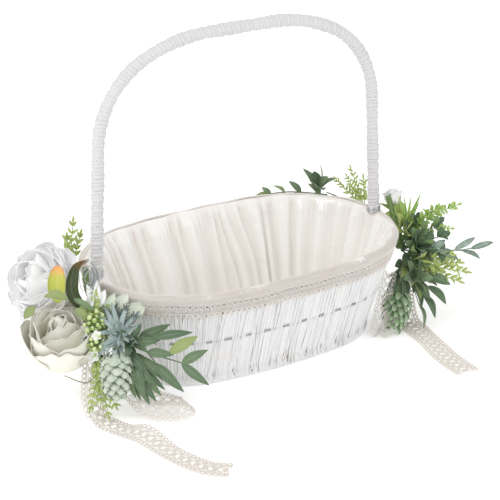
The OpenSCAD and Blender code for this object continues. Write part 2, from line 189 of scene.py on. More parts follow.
def tubes(shape, paths, radius, sides=6, closed=False, tint=None, caps=True):
    """Adds a tube along each path; paths is an array of tube, point, xyz."""
    paths = np.asarray(paths, float)
    if paths.ndim == 2:
        paths = paths[None]
    count, length = paths.shape[:2]
    radius = np.broadcast_to(np.asarray(radius, float), (count, length))
    if closed:
        tangent = unit(np.roll(paths, -1, 1) - np.roll(paths, 1, 1))
    else:
        tangent = unit(np.gradient(paths, axis=1))
    start = np.where(np.abs(tangent[:, :1, 2:]) < 0.8, [[UP]], [[[1.0, 0, 0]]])[:, 0]
    normal = np.empty_like(paths)
    for i in range(length):
        start = unit(start - (start * tangent[:, i]).sum(-1, keepdims=True) * tangent[:, i])
        normal[:, i] = start
    side = np.cross(tangent, normal)
    turn = np.arange(sides) * 2 * math.pi / sides
    ring = normal[:, :, None] * np.cos(turn)[:, None] + side[:, :, None] * np.sin(turn)[:, None]
    points = paths[:, :, None] + radius[..., None, None] * ring
    quads = grid_faces(length, sides, around=True)
    if closed:
        last = (length - 1) * sides + np.arange(sides)
        nxt = (length - 1) * sides + (np.arange(sides) + 1) % sides
        first = np.arange(sides)
        quads = np.concatenate([quads, np.stack([last, nxt, (first + 1) % sides, first], -1)])
    firsts = (np.arange(count) * length * sides)[:, None, None]
    faces = [(quads[None] + firsts).reshape(-1, 4)]
    if caps and not closed:
        ends = np.stack([np.arange(sides)[::-1], (length - 1) * sides + np.arange(sides)])
        faces.append((ends[None] + firsts).reshape(-1, sides))
    along = np.broadcast_to(np.linspace(0, 1, length)[None, :, None], points.shape[:3])
    tint = 0.5 if tint is None else np.broadcast_to(np.reshape(tint, (-1, 1, 1)), points.shape[:3])
    shape.add(points, faces, tint, along, 0.45)


def slab(shape, surface, thickness, tint=0.5, around=False):
    """Adds a thin closed sheet about a grid of points, rows by cols; around closes it into a ring."""
    rows, cols = surface.shape[:2]
    if around:
        d_col = np.roll(surface, -1, 1) - np.roll(surface, 1, 1)
    else:
        d_col = np.gradient(surface, axis=1)
    d_row = np.gradient(surface, axis=0)
    normal = unit(np.cross(d_col, d_row))
    top = surface + normal * thickness / 2
    under = surface - normal * thickness / 2
    size = rows * cols
    quads = grid_faces(rows, cols, around)
    faces = [quads, quads[:, ::-1] + size]
    index = np.arange(size).reshape(rows, cols)
    edges = [index[0, ::-1], index[-1]]
    if around:
        edges = [np.append(index[0], 0)[::-1], np.append(index[-1], index[-1, 0])]
    else:
        edges += [index[:, 0], index[::-1, -1]]
    for edge in edges:
        faces.append(np.stack([edge[1:], edge[:-1], edge[:-1] + size, edge[1:] + size], -1))
    along = np.repeat(np.linspace(0, 1, rows), cols)
    across = np.tile(np.linspace(-1, 1, cols), rows)
    shape.add(
        np.concatenate([top.reshape(-1, 3), under.reshape(-1, 3)]),
        faces, tint, np.tile(along, 2), np.tile(across, 2),
    )


def ball(shape, centre, radius, tint):
    """Adds a round berry."""
    rows, cols = 9, 14
    down = np.linspace(0, math.pi, rows)[1:-1, None]
    turn = np.arange(cols) * 2 * math.pi / cols
    ring = np.stack([np.sin(down) * np.cos(turn), np.sin(down) * np.sin(turn), np.cos(down) + 0 * turn], -1)
    points = np.concatenate([ring.reshape(-1, 3), [UP, -UP]]) * radius + centre
    last = (rows - 3) * cols
    j = np.arange(cols)
    k = (j + 1) % cols
    top = np.stack([np.full(cols, (rows - 2) * cols), k, j], -1)
    bottom = np.stack([np.full(cols, (rows - 2) * cols + 1), last + j, last + k], -1)
    along = np.concatenate([np.repeat(np.linspace(0, 1, rows - 2), cols), [0, 1]])
    faces = [grid_faces(rows - 2, cols, around=True), top, bottom]
    shape.add(points, [f[:, ::-1] for f in faces], tint, along)


def curve(points, count):
    """A smooth line of count points through the given ones."""
    points = np.asarray(points, float)
    if len(points) == 2:
        return points[0] + (points[1] - points[0]) * np.linspace(0, 1, count)[:, None]
    padded = np.concatenate([[2 * points[0] - points[1]], points, [2 * points[-1] - points[-2]]])
    t = np.linspace(0, len(points) - 1 - 1e-9, count)
    i = t.astype(int)
    f = (t - i)[:, None]
    a, b, c, d = (padded[i + k] for k in range(4))
    return 0.5 * (2 * b + (c - a) * f + (2 * a - 5 * b + 4 * c - d) * f**2 + (3 * b - a - 3 * c + d) * f**3)


# ---------------------------------------------------------------- materials


class Finish:
    """A Principled material with a few helpers to wire its procedural detail."""

    def __init__(self, name, **sockets):
        self.material = bpy.data.materials.new(name)
        self.material["slot"] = name
        self.material.use_nodes = True
        self.tree = self.material.node_tree
        self.shader = self.tree.nodes["Principled BSDF"]
        for socket, value in sockets.items():
            self.shader.inputs[socket.replace("_", " ").title().replace("Ior", "IOR")].default_value = value
        self.place = self.node("ShaderNodeTexCoord").outputs["Object"]

    def node(self, kind, **settings):
        made = self.tree.nodes.new(kind)
        for key, value in settings.items():
            setattr(made, key, value)
        return made

    def plug(self, value, socket):
        if isinstance(value, bpy.types.NodeSocket):
            self.tree.links.new(value, socket)
        else:
            socket.default_value = value

    def mark(self, name):
        return self.node("ShaderNodeAttribute", attribute_name=name).outputs["Fac"]

    def noise(self, scale, detail=3.0, rough=0.55, stretch=(1, 1, 1), warp=0.0):
        mapping = self.node("ShaderNodeMapping")
        self.plug(self.place, mapping.inputs["Vector"])
        mapping.inputs["Scale"].default_value = stretch
        texture = self.node("ShaderNodeTexNoise")
        self.plug(mapping.outputs["Vector"], texture.inputs["Vector"])
        texture.inputs["Scale"].default_value = scale
        texture.inputs["Detail"].default_value = detail
        texture.inputs["Roughness"].default_value = rough
        texture.inputs["Distortion"].default_value = warp
        return texture.outputs["Fac"]

    def cells(self, scale):
        texture = self.node("ShaderNodeTexVoronoi")
        self.plug(self.place, texture.inputs["Vector"])
        texture.inputs["Scale"].default_value = scale
        return texture.outputs["Distance"]

    def math(self, operation, a, b=0.0, c=0.0):
        made = self.node("ShaderNodeMath", operation=operation)
        for value, socket in zip((a, b, c), made.inputs):
            self.plug(value, socket)
        return made.outputs["Value"]

    def ramp(self, value, low, high, start=0.0, end=1.0):
        made = self.node("ShaderNodeMapRange", interpolation_type="SMOOTHSTEP")
        for v, socket in zip((value, low, high, start, end), made.inputs):
            self.plug(v, socket)
        return made.outputs["Result"]

    def mix(self, share, a, b):
        made = self.node("ShaderNodeMix", data_type="RGBA")
        colours = [s for s in made.inputs if s.type == "RGBA"]
        self.plug(share, made.inputs["Factor"])
        for value, socket in zip((a, b), colours):
            self.plug((*value, 1.0) if isinstance(value, tuple) else value, socket)
        return [s for s in made.outputs if s.type == "RGBA"][0]

    def colour(self, value):
        self.plug(value, self.shader.inputs["Base Color"])

    def rough(self, value):
        self.plug(value, self.shader.inputs["Roughness"])

    def relief(self, height, distance, strength=1.0):
        made = self.node("ShaderNodeBump")
        self.plug(height, made.inputs["Height"])
        made.inputs["Distance"].default_value = distance
        made.inputs["Strength"].default_value = strength
        self.plug(made.outputs["Normal"], self.shader.inputs["Normal"])


def grain_finish(name, grain, dark, light, rough, depth, strength, **sockets):
    """A material of one even grain, which sets its colour, roughness and relief."""
    f = Finish(name, **sockets)
    grain = f.noise(*grain)
    f.colour(f.mix(grain, dark, light))
    f.rough(f.ramp(grain, 0.3, 0.7, *rough))
    if depth:
        f.relief(grain, depth, strength)
    return f.material


def steel_finish(name):
    return grain_finish(name, (700, 2, 0.6, (1, 1, 0.2)), (0.62, 0.62, 0.65), (0.80, 0.80, 0.82), (0.22, 0.4),
                        0, 0, metallic=1.0)


def wicker_finish():
    f = Finish("wicker_white", specular_ior_level=0.35)
    streaks = f.noise(420, 3, 0.6, (1, 1, 0.12))
    blotch = f.noise(55, 2)
    # The tint mark sets each front strand's own tone at random; the low tints given to the backing strands
    # and middle hoop are painted shade for the slots.
    tone = f.mix(f.mark("tint"), (0.72, 0.73, 0.75), (0.85, 0.845, 0.84))
    tone = f.mix(f.ramp(blotch, 0.55, 0.75, 0, 0.4), tone, (0.80, 0.755, 0.71))
    f.colour(f.mix(f.ramp(streaks, 0.55, 0.8, 0, 0.35), tone, (0.68, 0.69, 0.71)))
    f.rough(f.ramp(blotch, 0.3, 0.7, 0.45, 0.65))
    f.relief(streaks, 0.25 * MM, 0.6)
    return f.material


def satin_finish():
    f = Finish("satin_ivory", sheen_weight=0.25, sheen_roughness=0.35, specular_ior_level=0.9,
               subsurface_weight=0.05, subsurface_radius=(0.003, 0.0025, 0.002))
    soft = f.noise(22, 2)
    weft = f.noise(2600, 1, 0.5, (1, 1, 0.1))
    tone = f.mix(f.ramp(soft, 0.4, 0.7), (0.945, 0.93, 0.905), (0.945, 0.915, 0.88))
    # Painted shade: the tint mark is how far each fold stands out, and the valleys between folds are painted
    # beige (0.865, 0.825, 0.775).
    tone = f.mix(f.ramp(f.mark("tint"), 0.0, 0.85, 0.8, 0.0), tone, (0.865, 0.825, 0.775))
    f.colour(f.mix(f.ramp(weft, 0.4, 0.7, 0, 0.25), tone, (0.83, 0.81, 0.78)))
    f.rough(f.ramp(soft, 0.3, 0.7, 0.22, 0.32))
    f.relief(weft, 0.03 * MM, 0.5)
    return f.material


def lace_finish():
    f = Finish("lace_cream", specular_ior_level=0.2)
    ply = f.noise(1500, 2, 0.6)
    warm = f.noise(40, 2)
    tone = f.mix(f.ramp(warm, 0.4, 0.65), (0.815, 0.775, 0.725), (0.81, 0.755, 0.695))
    # Low tints darken the threads towards (0.60, 0.56, 0.51); on the rim band's heading this is partly
    # painted shade under the satin roll and partly the lace lying double there.
    tone = f.mix(f.ramp(f.mark("tint"), 0.0, 0.5, 0.6, 0.0), tone, (0.60, 0.56, 0.51))
    f.colour(f.mix(f.ramp(ply, 0.45, 0.75, 0, 0.4), tone, (0.62, 0.58, 0.53)))
    f.rough(f.ramp(ply, 0.3, 0.7, 0.7, 0.9))
    f.relief(ply, 0.12 * MM, 0.7)
    return f.material


def cord_finish():
    f = Finish("cord_white", sheen_weight=0.3, sheen_roughness=0.5)
    fuzz = f.noise(1800, 3, 0.7)
    glint = f.ramp(f.cells(520), 0.06, 0.16, 1.0, 0.0)
    spark = f.math("MULTIPLY", glint, f.ramp(f.noise(140, 2), 0.52, 0.6))
    tone = f.mix(fuzz, (0.58, 0.575, 0.585), (0.79, 0.78, 0.785))
    f.colour(f.mix(spark, tone, (0.62, 0.62, 0.66)))
    f.plug(f.math("MULTIPLY", spark, 0.35), f.shader.inputs["Metallic"])
    f.rough(f.ramp(spark, 0, 1, 0.8, 0.35))
    f.relief(fuzz, 0.2 * MM, 0.5)
    return f.material


def petal_finish(name, edge, base, reach, painted_glow=0.04):
    """Soft petals: edge colour, the colour deep at the base, and how far up it reaches, and a faint emission
    in the edge colour, painted light that stands in for light shining through the petals.
    """
    f = Finish(name, sheen_weight=0.3, sheen_roughness=0.6, specular_ior_level=0.2, emission_strength=painted_glow)
    # Painted light: the petals glow a little in their edge colour.
    f.shader.inputs["Emission Color"].default_value = (*edge, 1)
    vein = f.noise(420, 3, 0.6, (1, 1, 0.35))
    tone = f.mix(f.ramp(f.mark("along"), 0.05, reach), base, edge)
    f.colour(f.mix(f.ramp(vein, 0.45, 0.8, 0, 0.22), tone, tuple(c * 0.92 for c in edge)))
    f.rough(f.ramp(vein, 0.3, 0.7, 0.6, 0.8))
    f.relief(vein, 0.12 * MM, 0.5)
    return f.material


def leaf_finish(name, dark, light, rib, tip=None, gloss=0.5, dust=0.0, young=None):
    """Moulded leaves with a paler midrib, side veins and edge; tip, dust and young are optional colours."""
    f = Finish(name, specular_ior_level=0.4, subsurface_weight=0.08,
               subsurface_radius=(0.001, 0.002, 0.001))
    across = f.math("ABSOLUTE", f.mark("across"))
    mottle = f.noise(240, 4, 0.65)
    tone = f.mix(f.math("MULTIPLY_ADD", f.mark("tint"), 0.75, f.math("MULTIPLY", mottle, 0.3)), dark, light)
    tone = f.mix(f.ramp(f.mark("tint"), 0.78, 0.95, 0.0, 0.75 if young else 0.0), tone, young or light)
    tone = f.mix(f.ramp(across, 0.02, 0.10, 0.6, 0.0), tone, rib)
    tone = f.mix(f.ramp(across, 0.80, 1.0, 0.0, 0.45), tone, rib)
    veins = f.math("SINE", f.math("MULTIPLY_ADD", f.mark("along"), 52.0, f.math("MULTIPLY", across, -11.0)))
    tone = f.mix(f.ramp(veins, 0.55, 1.0, 0, 0.13), tone, rib)
    if tip:
        tone = f.mix(f.ramp(f.mark("along"), 0.62, 0.95), tone, tip)
    if dust:
        tone = f.mix(f.ramp(mottle, 0.35, 0.7, 0.0, dust), tone, (0.82, 0.86, 0.88))
    f.colour(tone)
    f.rough(f.ramp(mottle, 0.3, 0.7, gloss, gloss + 0.18))
    f.relief(f.math("MULTIPLY_ADD", mottle, 0.4, veins), 0.12 * MM, 0.5)
    return f.material


def berry_finish():
    f = Finish("berry_green", specular_ior_level=0.5, subsurface_weight=0.2,
               subsurface_radius=(0.001, 0.002, 0.001))
    mottle = f.noise(500, 3)
    tone = f.mix(f.mark("tint"), (0.30, 0.44, 0.10), (0.66, 0.76, 0.36))
    f.colour(f.mix(f.ramp(f.mark("along"), 0.0, 0.35, 0.6, 0.0), tone, (0.86, 0.90, 0.66)))
    f.rough(f.ramp(mottle, 0.3, 0.7, 0.3, 0.45))
    f.relief(mottle, 0.1 * MM, 0.3)
    return f.material


FINISHES = {
    "wicker": wicker_finish(),
    "board": grain_finish("base_board", (60, 4, 0.6, (1, 9, 9), 0.4), (0.74, 0.63, 0.49), (0.86, 0.78, 0.65),
                          (0.5, 0.7), 0.3 * MM, 0.4, specular_ior_level=0.3),
    "card": grain_finish("card_pad", (900, 3, 0.7), (0.80, 0.78, 0.73), (0.90, 0.88, 0.84), (0.75, 0.95),
                         0.1 * MM, 0.5),
    "satin": satin_finish(),
    "lace": lace_finish(),
    "rod": steel_finish("rod_steel"),
    "wire": steel_finish("binding_wire"),
    "cord": cord_finish(),
    "tape": grain_finish("floral_tape", (500, 3, 0.6, (0.3, 0.3, 1)), (0.10, 0.17, 0.06), (0.22, 0.32, 0.12),
                         (0.55, 0.75), 0.2 * MM, 0.7, specular_ior_level=0.25),
    "peony": petal_finish("petal_white", (0.955, 0.955, 0.96), (0.93, 0.935, 0.92), 0.35, 0.06),
    "rose": petal_finish("petal_cream", (0.885, 0.87, 0.785), (0.74, 0.75, 0.50), 0.85, 0.02),
    "blossom": petal_finish("blossom_white", (0.87, 0.87, 0.87), (0.70, 0.80, 0.50), 0.3),
    "calyx": leaf_finish("calyx_green", (0.42, 0.46, 0.06), (0.62, 0.64, 0.14), (0.70, 0.72, 0.30),
                         tip=(0.88, 0.44, 0.16), gloss=0.45),
    "dark": leaf_finish("leaf_dark", (0.05, 0.09, 0.055), (0.15, 0.23, 0.11), (0.20, 0.32, 0.20), gloss=0.4,
                        young=(0.22, 0.34, 0.10)),
    "olive": leaf_finish("leaf_olive", (0.065, 0.12, 0.075), (0.21, 0.30, 0.15), (0.38, 0.47, 0.31),
                         gloss=0.42, young=(0.36, 0.42, 0.14)),
    "pale": leaf_finish("leaf_pale", (0.60, 0.68, 0.52), (0.78, 0.82, 0.72), (0.84, 0.87, 0.78)),
    "dusty": leaf_finish("leaf_dusty", (0.13, 0.22, 0.20), (0.40, 0.51, 0.48), (0.54, 0.64, 0.61), dust=0.35,
                         gloss=0.6),
    "needle": leaf_finish("needle_dark", (0.05, 0.09, 0.08), (0.14, 0.20, 0.18), (0.30, 0.38, 0.36),
                          dust=0.25),
    "berry": berry_finish(),
    "cone": leaf_finish("cone_pale", (0.42, 0.52, 0.40), (0.66, 0.72, 0.60), (0.80, 0.84, 0.75), gloss=0.55),
    "tuft": leaf_finish("cone_green", (0.14, 0.30, 0.14), (0.42, 0.58, 0.34), (0.58, 0.70, 0.48),
                        tip=(0.62, 0.74, 0.52), gloss=0.5),
    "fern": leaf_finish("fern_green", (0.28, 0.40, 0.08), (0.56, 0.66, 0.24), (0.66, 0.74, 0.36), gloss=0.5),
    "organza": grain_finish("organza_grey", (2400, 1, 0.5, (1, 1, 0.15)), (0.52, 0.54, 0.55),
                            (0.74, 0.75, 0.76), (0.3, 0.5), 0.04 * MM, 0.5, sheen_weight=0.5,
                            sheen_roughness=0.3, alpha=0.62),
    "grass": leaf_finish("grass_green", (0.22, 0.42, 0.06), (0.48, 0.66, 0.18), (0.62, 0.76, 0.34),
                         gloss=0.45),
    "stalk": leaf_finish("stalk_green", (0.16, 0.20, 0.12), (0.34, 0.38, 0.26), (0.4, 0.45, 0.3)),
    "dusty_green": leaf_finish("leaf_dusty", (0.13, 0.21, 0.16), (0.26, 0.36, 0.26), (0.42, 0.50, 0.38),
                               dust=0.25, gloss=0.5),
    "curled": leaf_finish("leaf_dark", (0.03, 0.05, 0.03), (0.16, 0.20, 0.06), (0.28, 0.32, 0.12),
                          tip=(0.36, 0.20, 0.08), gloss=0.4),
}


def dress(node, finish):
    """Gives a CAD node that stays its finish."""
    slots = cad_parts[node].data.materials
    slots.clear()
    slots.append(FINISHES[finish])


# ---------------------------------------------------------------- wicker wall

STRANDS_PER_STAKE = 15
STRAND_RADIUS = 0.84 * MM
SLOT_HALF_WIDTH = 3.0 * MM
SLOT_HALF_HEIGHT = 1.6 * MM
SLOT_EASE = 16 * MM
WEAVE_INSET = 2.2 * MM
HOOP_INSET = 5.4 * MM
HOOP_RADIUS = 1.2 * MM


def near_slot(s):
    """Distance along the wall from the nearest slot."""
    return np.mod(s + SPACING / 2, SPACING) - SPACING / 2


def strand_route(s, z, lean, lift, spread=1.0):
    """Points of strands over heights z: they lean, and part to leave the small gaps above the base."""
    gap_height = HOOP_TOP + 4.5 * MM
    near = near_slot(s - SPACING / 2)
    part = spread * 1.6 * MM * np.sign(near) * bump(near, 4.0 * MM)
    squeeze = bump(z - gap_height, 3.6 * MM)
    place = s + lean * (z / WALL_HEIGHT - 0.5) + part * squeeze
    inset = WEAVE_INSET - lift - 0.12 * MM * bump(z - MID_HEIGHT, 7 * MM)
    hoop = smooth((HOOP_TOP + 3 * MM - z) / (4 * MM))
    offset = face(z) - inset + hoop * 2.6 * MM
    return outline(place, offset, z)


def under_hoop(s, lean):
    """The last points of strands, which turn in under the base hoop."""
    place = s - lean / 2
    turn = [(-25.3, 2.6), (-25.6, 1.6), (-26.6, 0.95), (-28.4, 1.0)]
    return np.stack([outline(place, u * MM, h * MM) for u, h in turn], 1)


def wall_strands():
    """The wall's strands, whole ones and ones that are cut at the slots, in a lower and an upper band."""
    rng = np.random.default_rng(4)
    count = STAKES * STRANDS_PER_STAKE
    s = (np.arange(count) + 0.5) * PERIMETER / count + rng.normal(0, 0.16 * MM, count)
    lean = rng.normal(0, 0.9 * MM, count)
    lift = rng.uniform(-0.25, 0.35, count) * MM
    tint = np.clip(rng.normal(0.6, 0.22, count), 0, 1)
    radius = STRAND_RADIUS * rng.uniform(0.85, 1.2, count)
    lift[::3] -= 0.35 * MM
    cut = np.abs(near_slot(s)) < SLOT_HALF_WIDTH
    lower, upper = Shape(), Shape()
    for chosen, gap in ((~cut, 0), (cut, SLOT_HALF_HEIGHT)):
        low, high = strand_halves(s[chosen], lean[chosen], lift[chosen], gap)
        for shape, paths in ((lower, low), (upper, high)):
            tubes(shape, paths, radius[chosen][:, None], 6, tint=tint[chosen], caps=gap > 0)
    backing_strands(lower, upper)
    middle_hoop()
    crossing_strands(lower, upper, rng)
    lower.build("wicker_lower_strands", "wicker", "lower_weave")
    upper.build("wicker_upper_strands", "wicker", "upper_weave")


def strand_halves(s, lean, lift, gap):
    """Paths below and above the middle of the wall; a gap ends them short of it and tucks them in."""
    low_z = np.linspace(HOOP_TOP - 1.4 * MM, MID_HEIGHT, 17)
    high_z = np.linspace(MID_HEIGHT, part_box("upper_weave")[1].z, 12)
    below = low_z - gap * smooth((low_z - MID_HEIGHT) / SLOT_EASE + 1)
    above = high_z + gap * smooth(1 - (high_z - MID_HEIGHT) / SLOT_EASE)
    low = strand_route(s[:, None], below[None], lean[:, None], lift[:, None])
    high = strand_route(s[:, None], above[None], lean[:, None], lift[:, None])
    if gap:
        low = np.concatenate([low, tucked(s, MID_HEIGHT - gap, -1)], 1)
        high = np.concatenate([tucked(s, MID_HEIGHT + gap, 1)[:, ::-1], high], 1)
    return np.concatenate([under_hoop(s, lean)[:, ::-1], low], 1), high


def middle_hoop():
    """The hoop that the cut strands bend round, seen at the bottom of the slots. Its tint of 0.1, near the
    darkest wicker tone, is painted shade there.
    """
    around = np.linspace(0, PERIMETER, 240, endpoint=False)
    shape = Shape()
    line = outline(around, face(MID_HEIGHT) - HOOP_INSET, MID_HEIGHT)
    tubes(shape, line, HOOP_RADIUS, 8, closed=True, tint=[0.1])
    shape.build("wicker_mid_hoop", "wicker", "mid_hoop")


def backing_strands(lower, upper):
    """A close inner layer of thicker strands, which shows at the bottom of the slots and gaps. Their tint of
    0.35 is painted shade: it gives them a darker wicker tone than the front strands.
    """
    count = STAKES * 12
    s = (np.arange(count)[:, None] + 0.5) * PERIMETER / count
    low_z = np.linspace(HOOP_TOP, MID_HEIGHT, 19)[None]
    high_z = np.linspace(MID_HEIGHT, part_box("upper_weave")[1].z, 19)[None]
    for shape, z in ((lower, low_z), (upper, high_z)):
        lift = -1.25 * MM - 1.5 * MM * bump(z - MID_HEIGHT, 4 * MM) * bump(near_slot(s), 3.5 * MM)
        # tint 0.35: painted shade at the bottom of the slots and gaps
        tubes(shape, strand_route(s, z, 0, lift, spread=0.2), 1.05 * MM, 6, tint=np.full(count, 0.35))


def tucked(s, z, way):
    """Two points that take a cut strand in behind the middle hoop, at the edge of its slot."""
    steps = [(2.9, 0.15), (5.0, 0.9)]
    return np.stack([outline(s, face(z) - d * MM, z + way * h * MM) for d, h in steps], 1)


def crossing_strands(lower, upper, rng):
    """Looser strands that lie over the others and slant from bundle to bundle, clear of the slots."""
    per_stake = 4
    count = STAKES * per_stake
    bundle = (np.arange(count) // per_stake + 0.5) * SPACING
    s = bundle + (np.arange(count) % per_stake - (per_stake - 1) / 2) * 1.9 * MM
    lean = rng.choice([-1, 1], count) * rng.uniform(3, 8, count) * MM
    lift = rng.uniform(0.75, 1.05, count) * MM
    radius = STRAND_RADIUS * rng.uniform(0.6, 0.85, count)
    tint = rng.uniform(0.4, 1, count)
    low_z = np.linspace(HOOP_TOP + 1.5 * MM, MID_HEIGHT, 13)
    high_z = np.linspace(MID_HEIGHT, 70 * MM, 10)
    for shape, z in ((lower, low_z), (upper, high_z)):
        route = strand_route(s[:, None], z[None], lean[:, None], lift[:, None])
        tubes(shape, route, radius[:, None], 6, tint=tint)


# ---------------------------------------------------------------- satin lining

SATIN_ROWS = 60
SATIN_COLUMNS = 720
SATIN_THICKNESS = 0.35 * MM
NARROW_PLEAT = (8, 14)
WIDE_PLEAT = (18, 32)
DEEPEST_PLEAT = 8.5 * MM
CALM_REACH = 80 * MM  # the pleats are shallower this near to the right end


def pleats(s, up):
    """Depth of the satin's folds, in metres, at arc position s and share of the height up."""
    rng = np.random.default_rng(11)
    edges = [0.0]
    while edges[-1] < PERIMETER:
        edges.append(edges[-1] + rng.choice([rng.uniform(*NARROW_PLEAT), rng.uniform(*WIDE_PLEAT)]) * MM)
    edges = np.array(edges) * PERIMETER / edges[-1]
    wide = np.diff(edges, append=edges[-1] + 12 * MM)
    depth = np.clip(wide * rng.uniform(0.28, 0.48, len(edges)), 0, DEEPEST_PLEAT)
    depth = depth * (1 - 0.5 * bump(edges - END_LENGTH / 2, CALM_REACH))
    steep = rng.uniform(0.25, 0.75, len(edges))
    swing = 5 * np.sin(edges / PERIMETER * 10 * math.pi)
    lean = (swing - 6 + rng.uniform(-4, 4, len(edges))) * MM
    bend = rng.uniform(-2.5, 2.5, len(edges)) * MM
    around = np.mod(s, PERIMETER)
    sway = np.interp(around, edges, lean) * (up - 0.5) + np.interp(around, edges, bend) * np.sin(5 * up)
    place = np.mod(s + sway, PERIMETER)
    k = np.clip(np.searchsorted(edges, place, "right") - 1, 0, len(edges) - 2)
    share = (place - edges[k]) / (edges[k + 1] - edges[k])
    rise = smooth(share / steep[k])
    fall = smooth((1 - share) / (1 - steep[k]))
    body = np.sin(math.pi * (0.10 + up * 0.66)) ** 0.6
    crease = 0.8 * MM * np.sin(place / (2.3 * MM) + 2 * np.sin(place / (11 * MM))) * (0.4 + 0.6 * up)
    pucker = 0.55 * MM * np.sin(place / (0.75 * MM) + 3 * np.sin(place / (9 * MM)))
    return depth[k] * rise * fall * body + crease * body + pucker * smooth((up - 0.72) / 0.2)


def satin_section():
    """The lining's section, evenly spaced, as offsets and heights: up the wall and over the rim's hoops."""
    line = curve(
        [(-31.6, 7.6), (-27.2, 24), (-22.9, 42), (-16.6, 60), (-10.8, 76), (-9.4, 81.5), (-7.8, 84.2),
         (-5.2, 85.3), (-2.9, 84.9), (-1.7, 83.6), (-1.9, 82.4)], 300
    ) * MM
    travelled = np.concatenate([[0], np.cumsum(np.hypot(*np.diff(line, axis=0).T))])
    even = np.linspace(0, travelled[-1], SATIN_ROWS)
    section = np.stack([np.interp(even, travelled, line[:, i]) for i in (0, 1)], -1)
    return section, travelled[-1] - even


def satin_wall(s):
    section, to_edge = satin_section()
    up = (np.maximum.accumulate(section[:, 1]) / section[:, 1].max())[:, None]
    inside = smooth((1 - up) / 0.12)
    over = smooth((5 * MM - to_edge) / (3 * MM))[:, None]
    rng = np.random.default_rng(3)
    waves = sum(
        rng.uniform(0.08, 0.26) * np.sin(s * 2 * math.pi * n / PERIMETER + rng.uniform(0, 6.3))
        for n in (31, 47, 68, 93)
    ) * MM
    folds = pleats(s, up)
    ruck = over * (0.3 * waves + 0.25 * MM * np.sin(s / (0.7 * MM) + 2 * np.sin(s / (6 * MM))))
    wall = outline(s, section[:, :1] - folds * inside + ruck * 0.8, section[:, 1:] + ruck)
    wall[:, :, 2] += over * 0.15 * waves
    # Painted shade for the satin: this share is 1 on the folds' crests and 0 in their valleys, and the satin
    # finish darkens the valleys with it.
    painted_fold_light = np.clip(folds / (5 * MM), 0, 1).ravel()
    shape = Shape()
    slab(shape, wall, SATIN_THICKNESS, tint=np.tile(painted_fold_light, 2), around=True)
    lining = shape.build("satin_wall", "satin", "satin_lining")


def satin_floor(s):
    rings = np.linspace(0, 1, 24)[:, None]
    rim = outline(s, -BOARD_INSET - 0.6 * MM, 0.0)
    floor = rim * rings[..., None] * [1, 1, 0]
    floor[0] = rim[0] * 0.004
    x, y = floor[..., 0], floor[..., 1]
    creases = np.sin(x / (11 * MM) + 2 * np.sin(y / (17 * MM)))
    creases += 0.6 * np.sin(y / (7 * MM) + 3 * np.sin(x / (23 * MM)))
    floor[..., 2] = SATIN_FLOOR + 0.5 * MM + 0.3 * MM * creases * (1 - rings**4)
    shape = Shape()
    slab(shape, floor, SATIN_THICKNESS, around=True)
    base = shape.build("satin_floor", "satin", "satin_lining")


def satin_lining():
    s = np.linspace(0, PERIMETER, SATIN_COLUMNS, endpoint=False)[None]
    satin_wall(s)
    satin_floor(s)


# ---------------------------------------------------------------- lace

THREAD = 0.20 * MM
BAND_CELL = 4.4 * MM
CLOTH_SHARE = 0.36
CLOTH_ROW = 0.85 * MM


class Pattern:
    """Threads of lace laid flat: x along it, y across it, in cells of equal pitch."""

    def __init__(self, length, cell):
        self.length = length
        self.cells = round(length / cell)
        self.pitch = length / self.cells
        self.long = np.linspace(0, length, self.cells * 6 + 1)
        self.threads = []

    def beads(self, per_cell=1):
        """Evenly spaced places along the lace, per_cell of them in each cell."""
        return (np.arange(self.cells * per_cell) + 0.5) * self.pitch / per_cell

    def add(self, x, y, thick):
        """Threads through the points; x and y hold one thread in each row."""
        self.threads.append((np.stack([x, y + 0 * x], -1), thick))

    def straight(self, y, thick, wave=0.0, turns=1.0):
        sway = wave * np.sin(self.long / self.pitch * 2 * math.pi * turns)
        self.add(self.long[None], y + sway, thick)

    def slanted(self, y0, y1, every, reach, thick, count):
        """Two crossing sets of threads from y0 to y1, one every so often, that reach so far along."""
        starts = np.arange(0, self.length + every / 2, every)
        share = np.linspace(0, 1, count)
        for way in (-1, 1):
            run = np.clip(starts[:, None] + way * reach * (share - 0.5), 0, self.length)
            self.add(run, y0 + (y1 - y0) * share, thick)

    def arcs(self, thick, x, y, wide, tall, start, end, count):
        """Arcs of ellipses about each x, at y across the lace."""
        turn = np.radians(np.linspace(start, end, count))
        self.add(x[:, None] + wide * np.cos(turn), y + tall * np.sin(turn), thick)


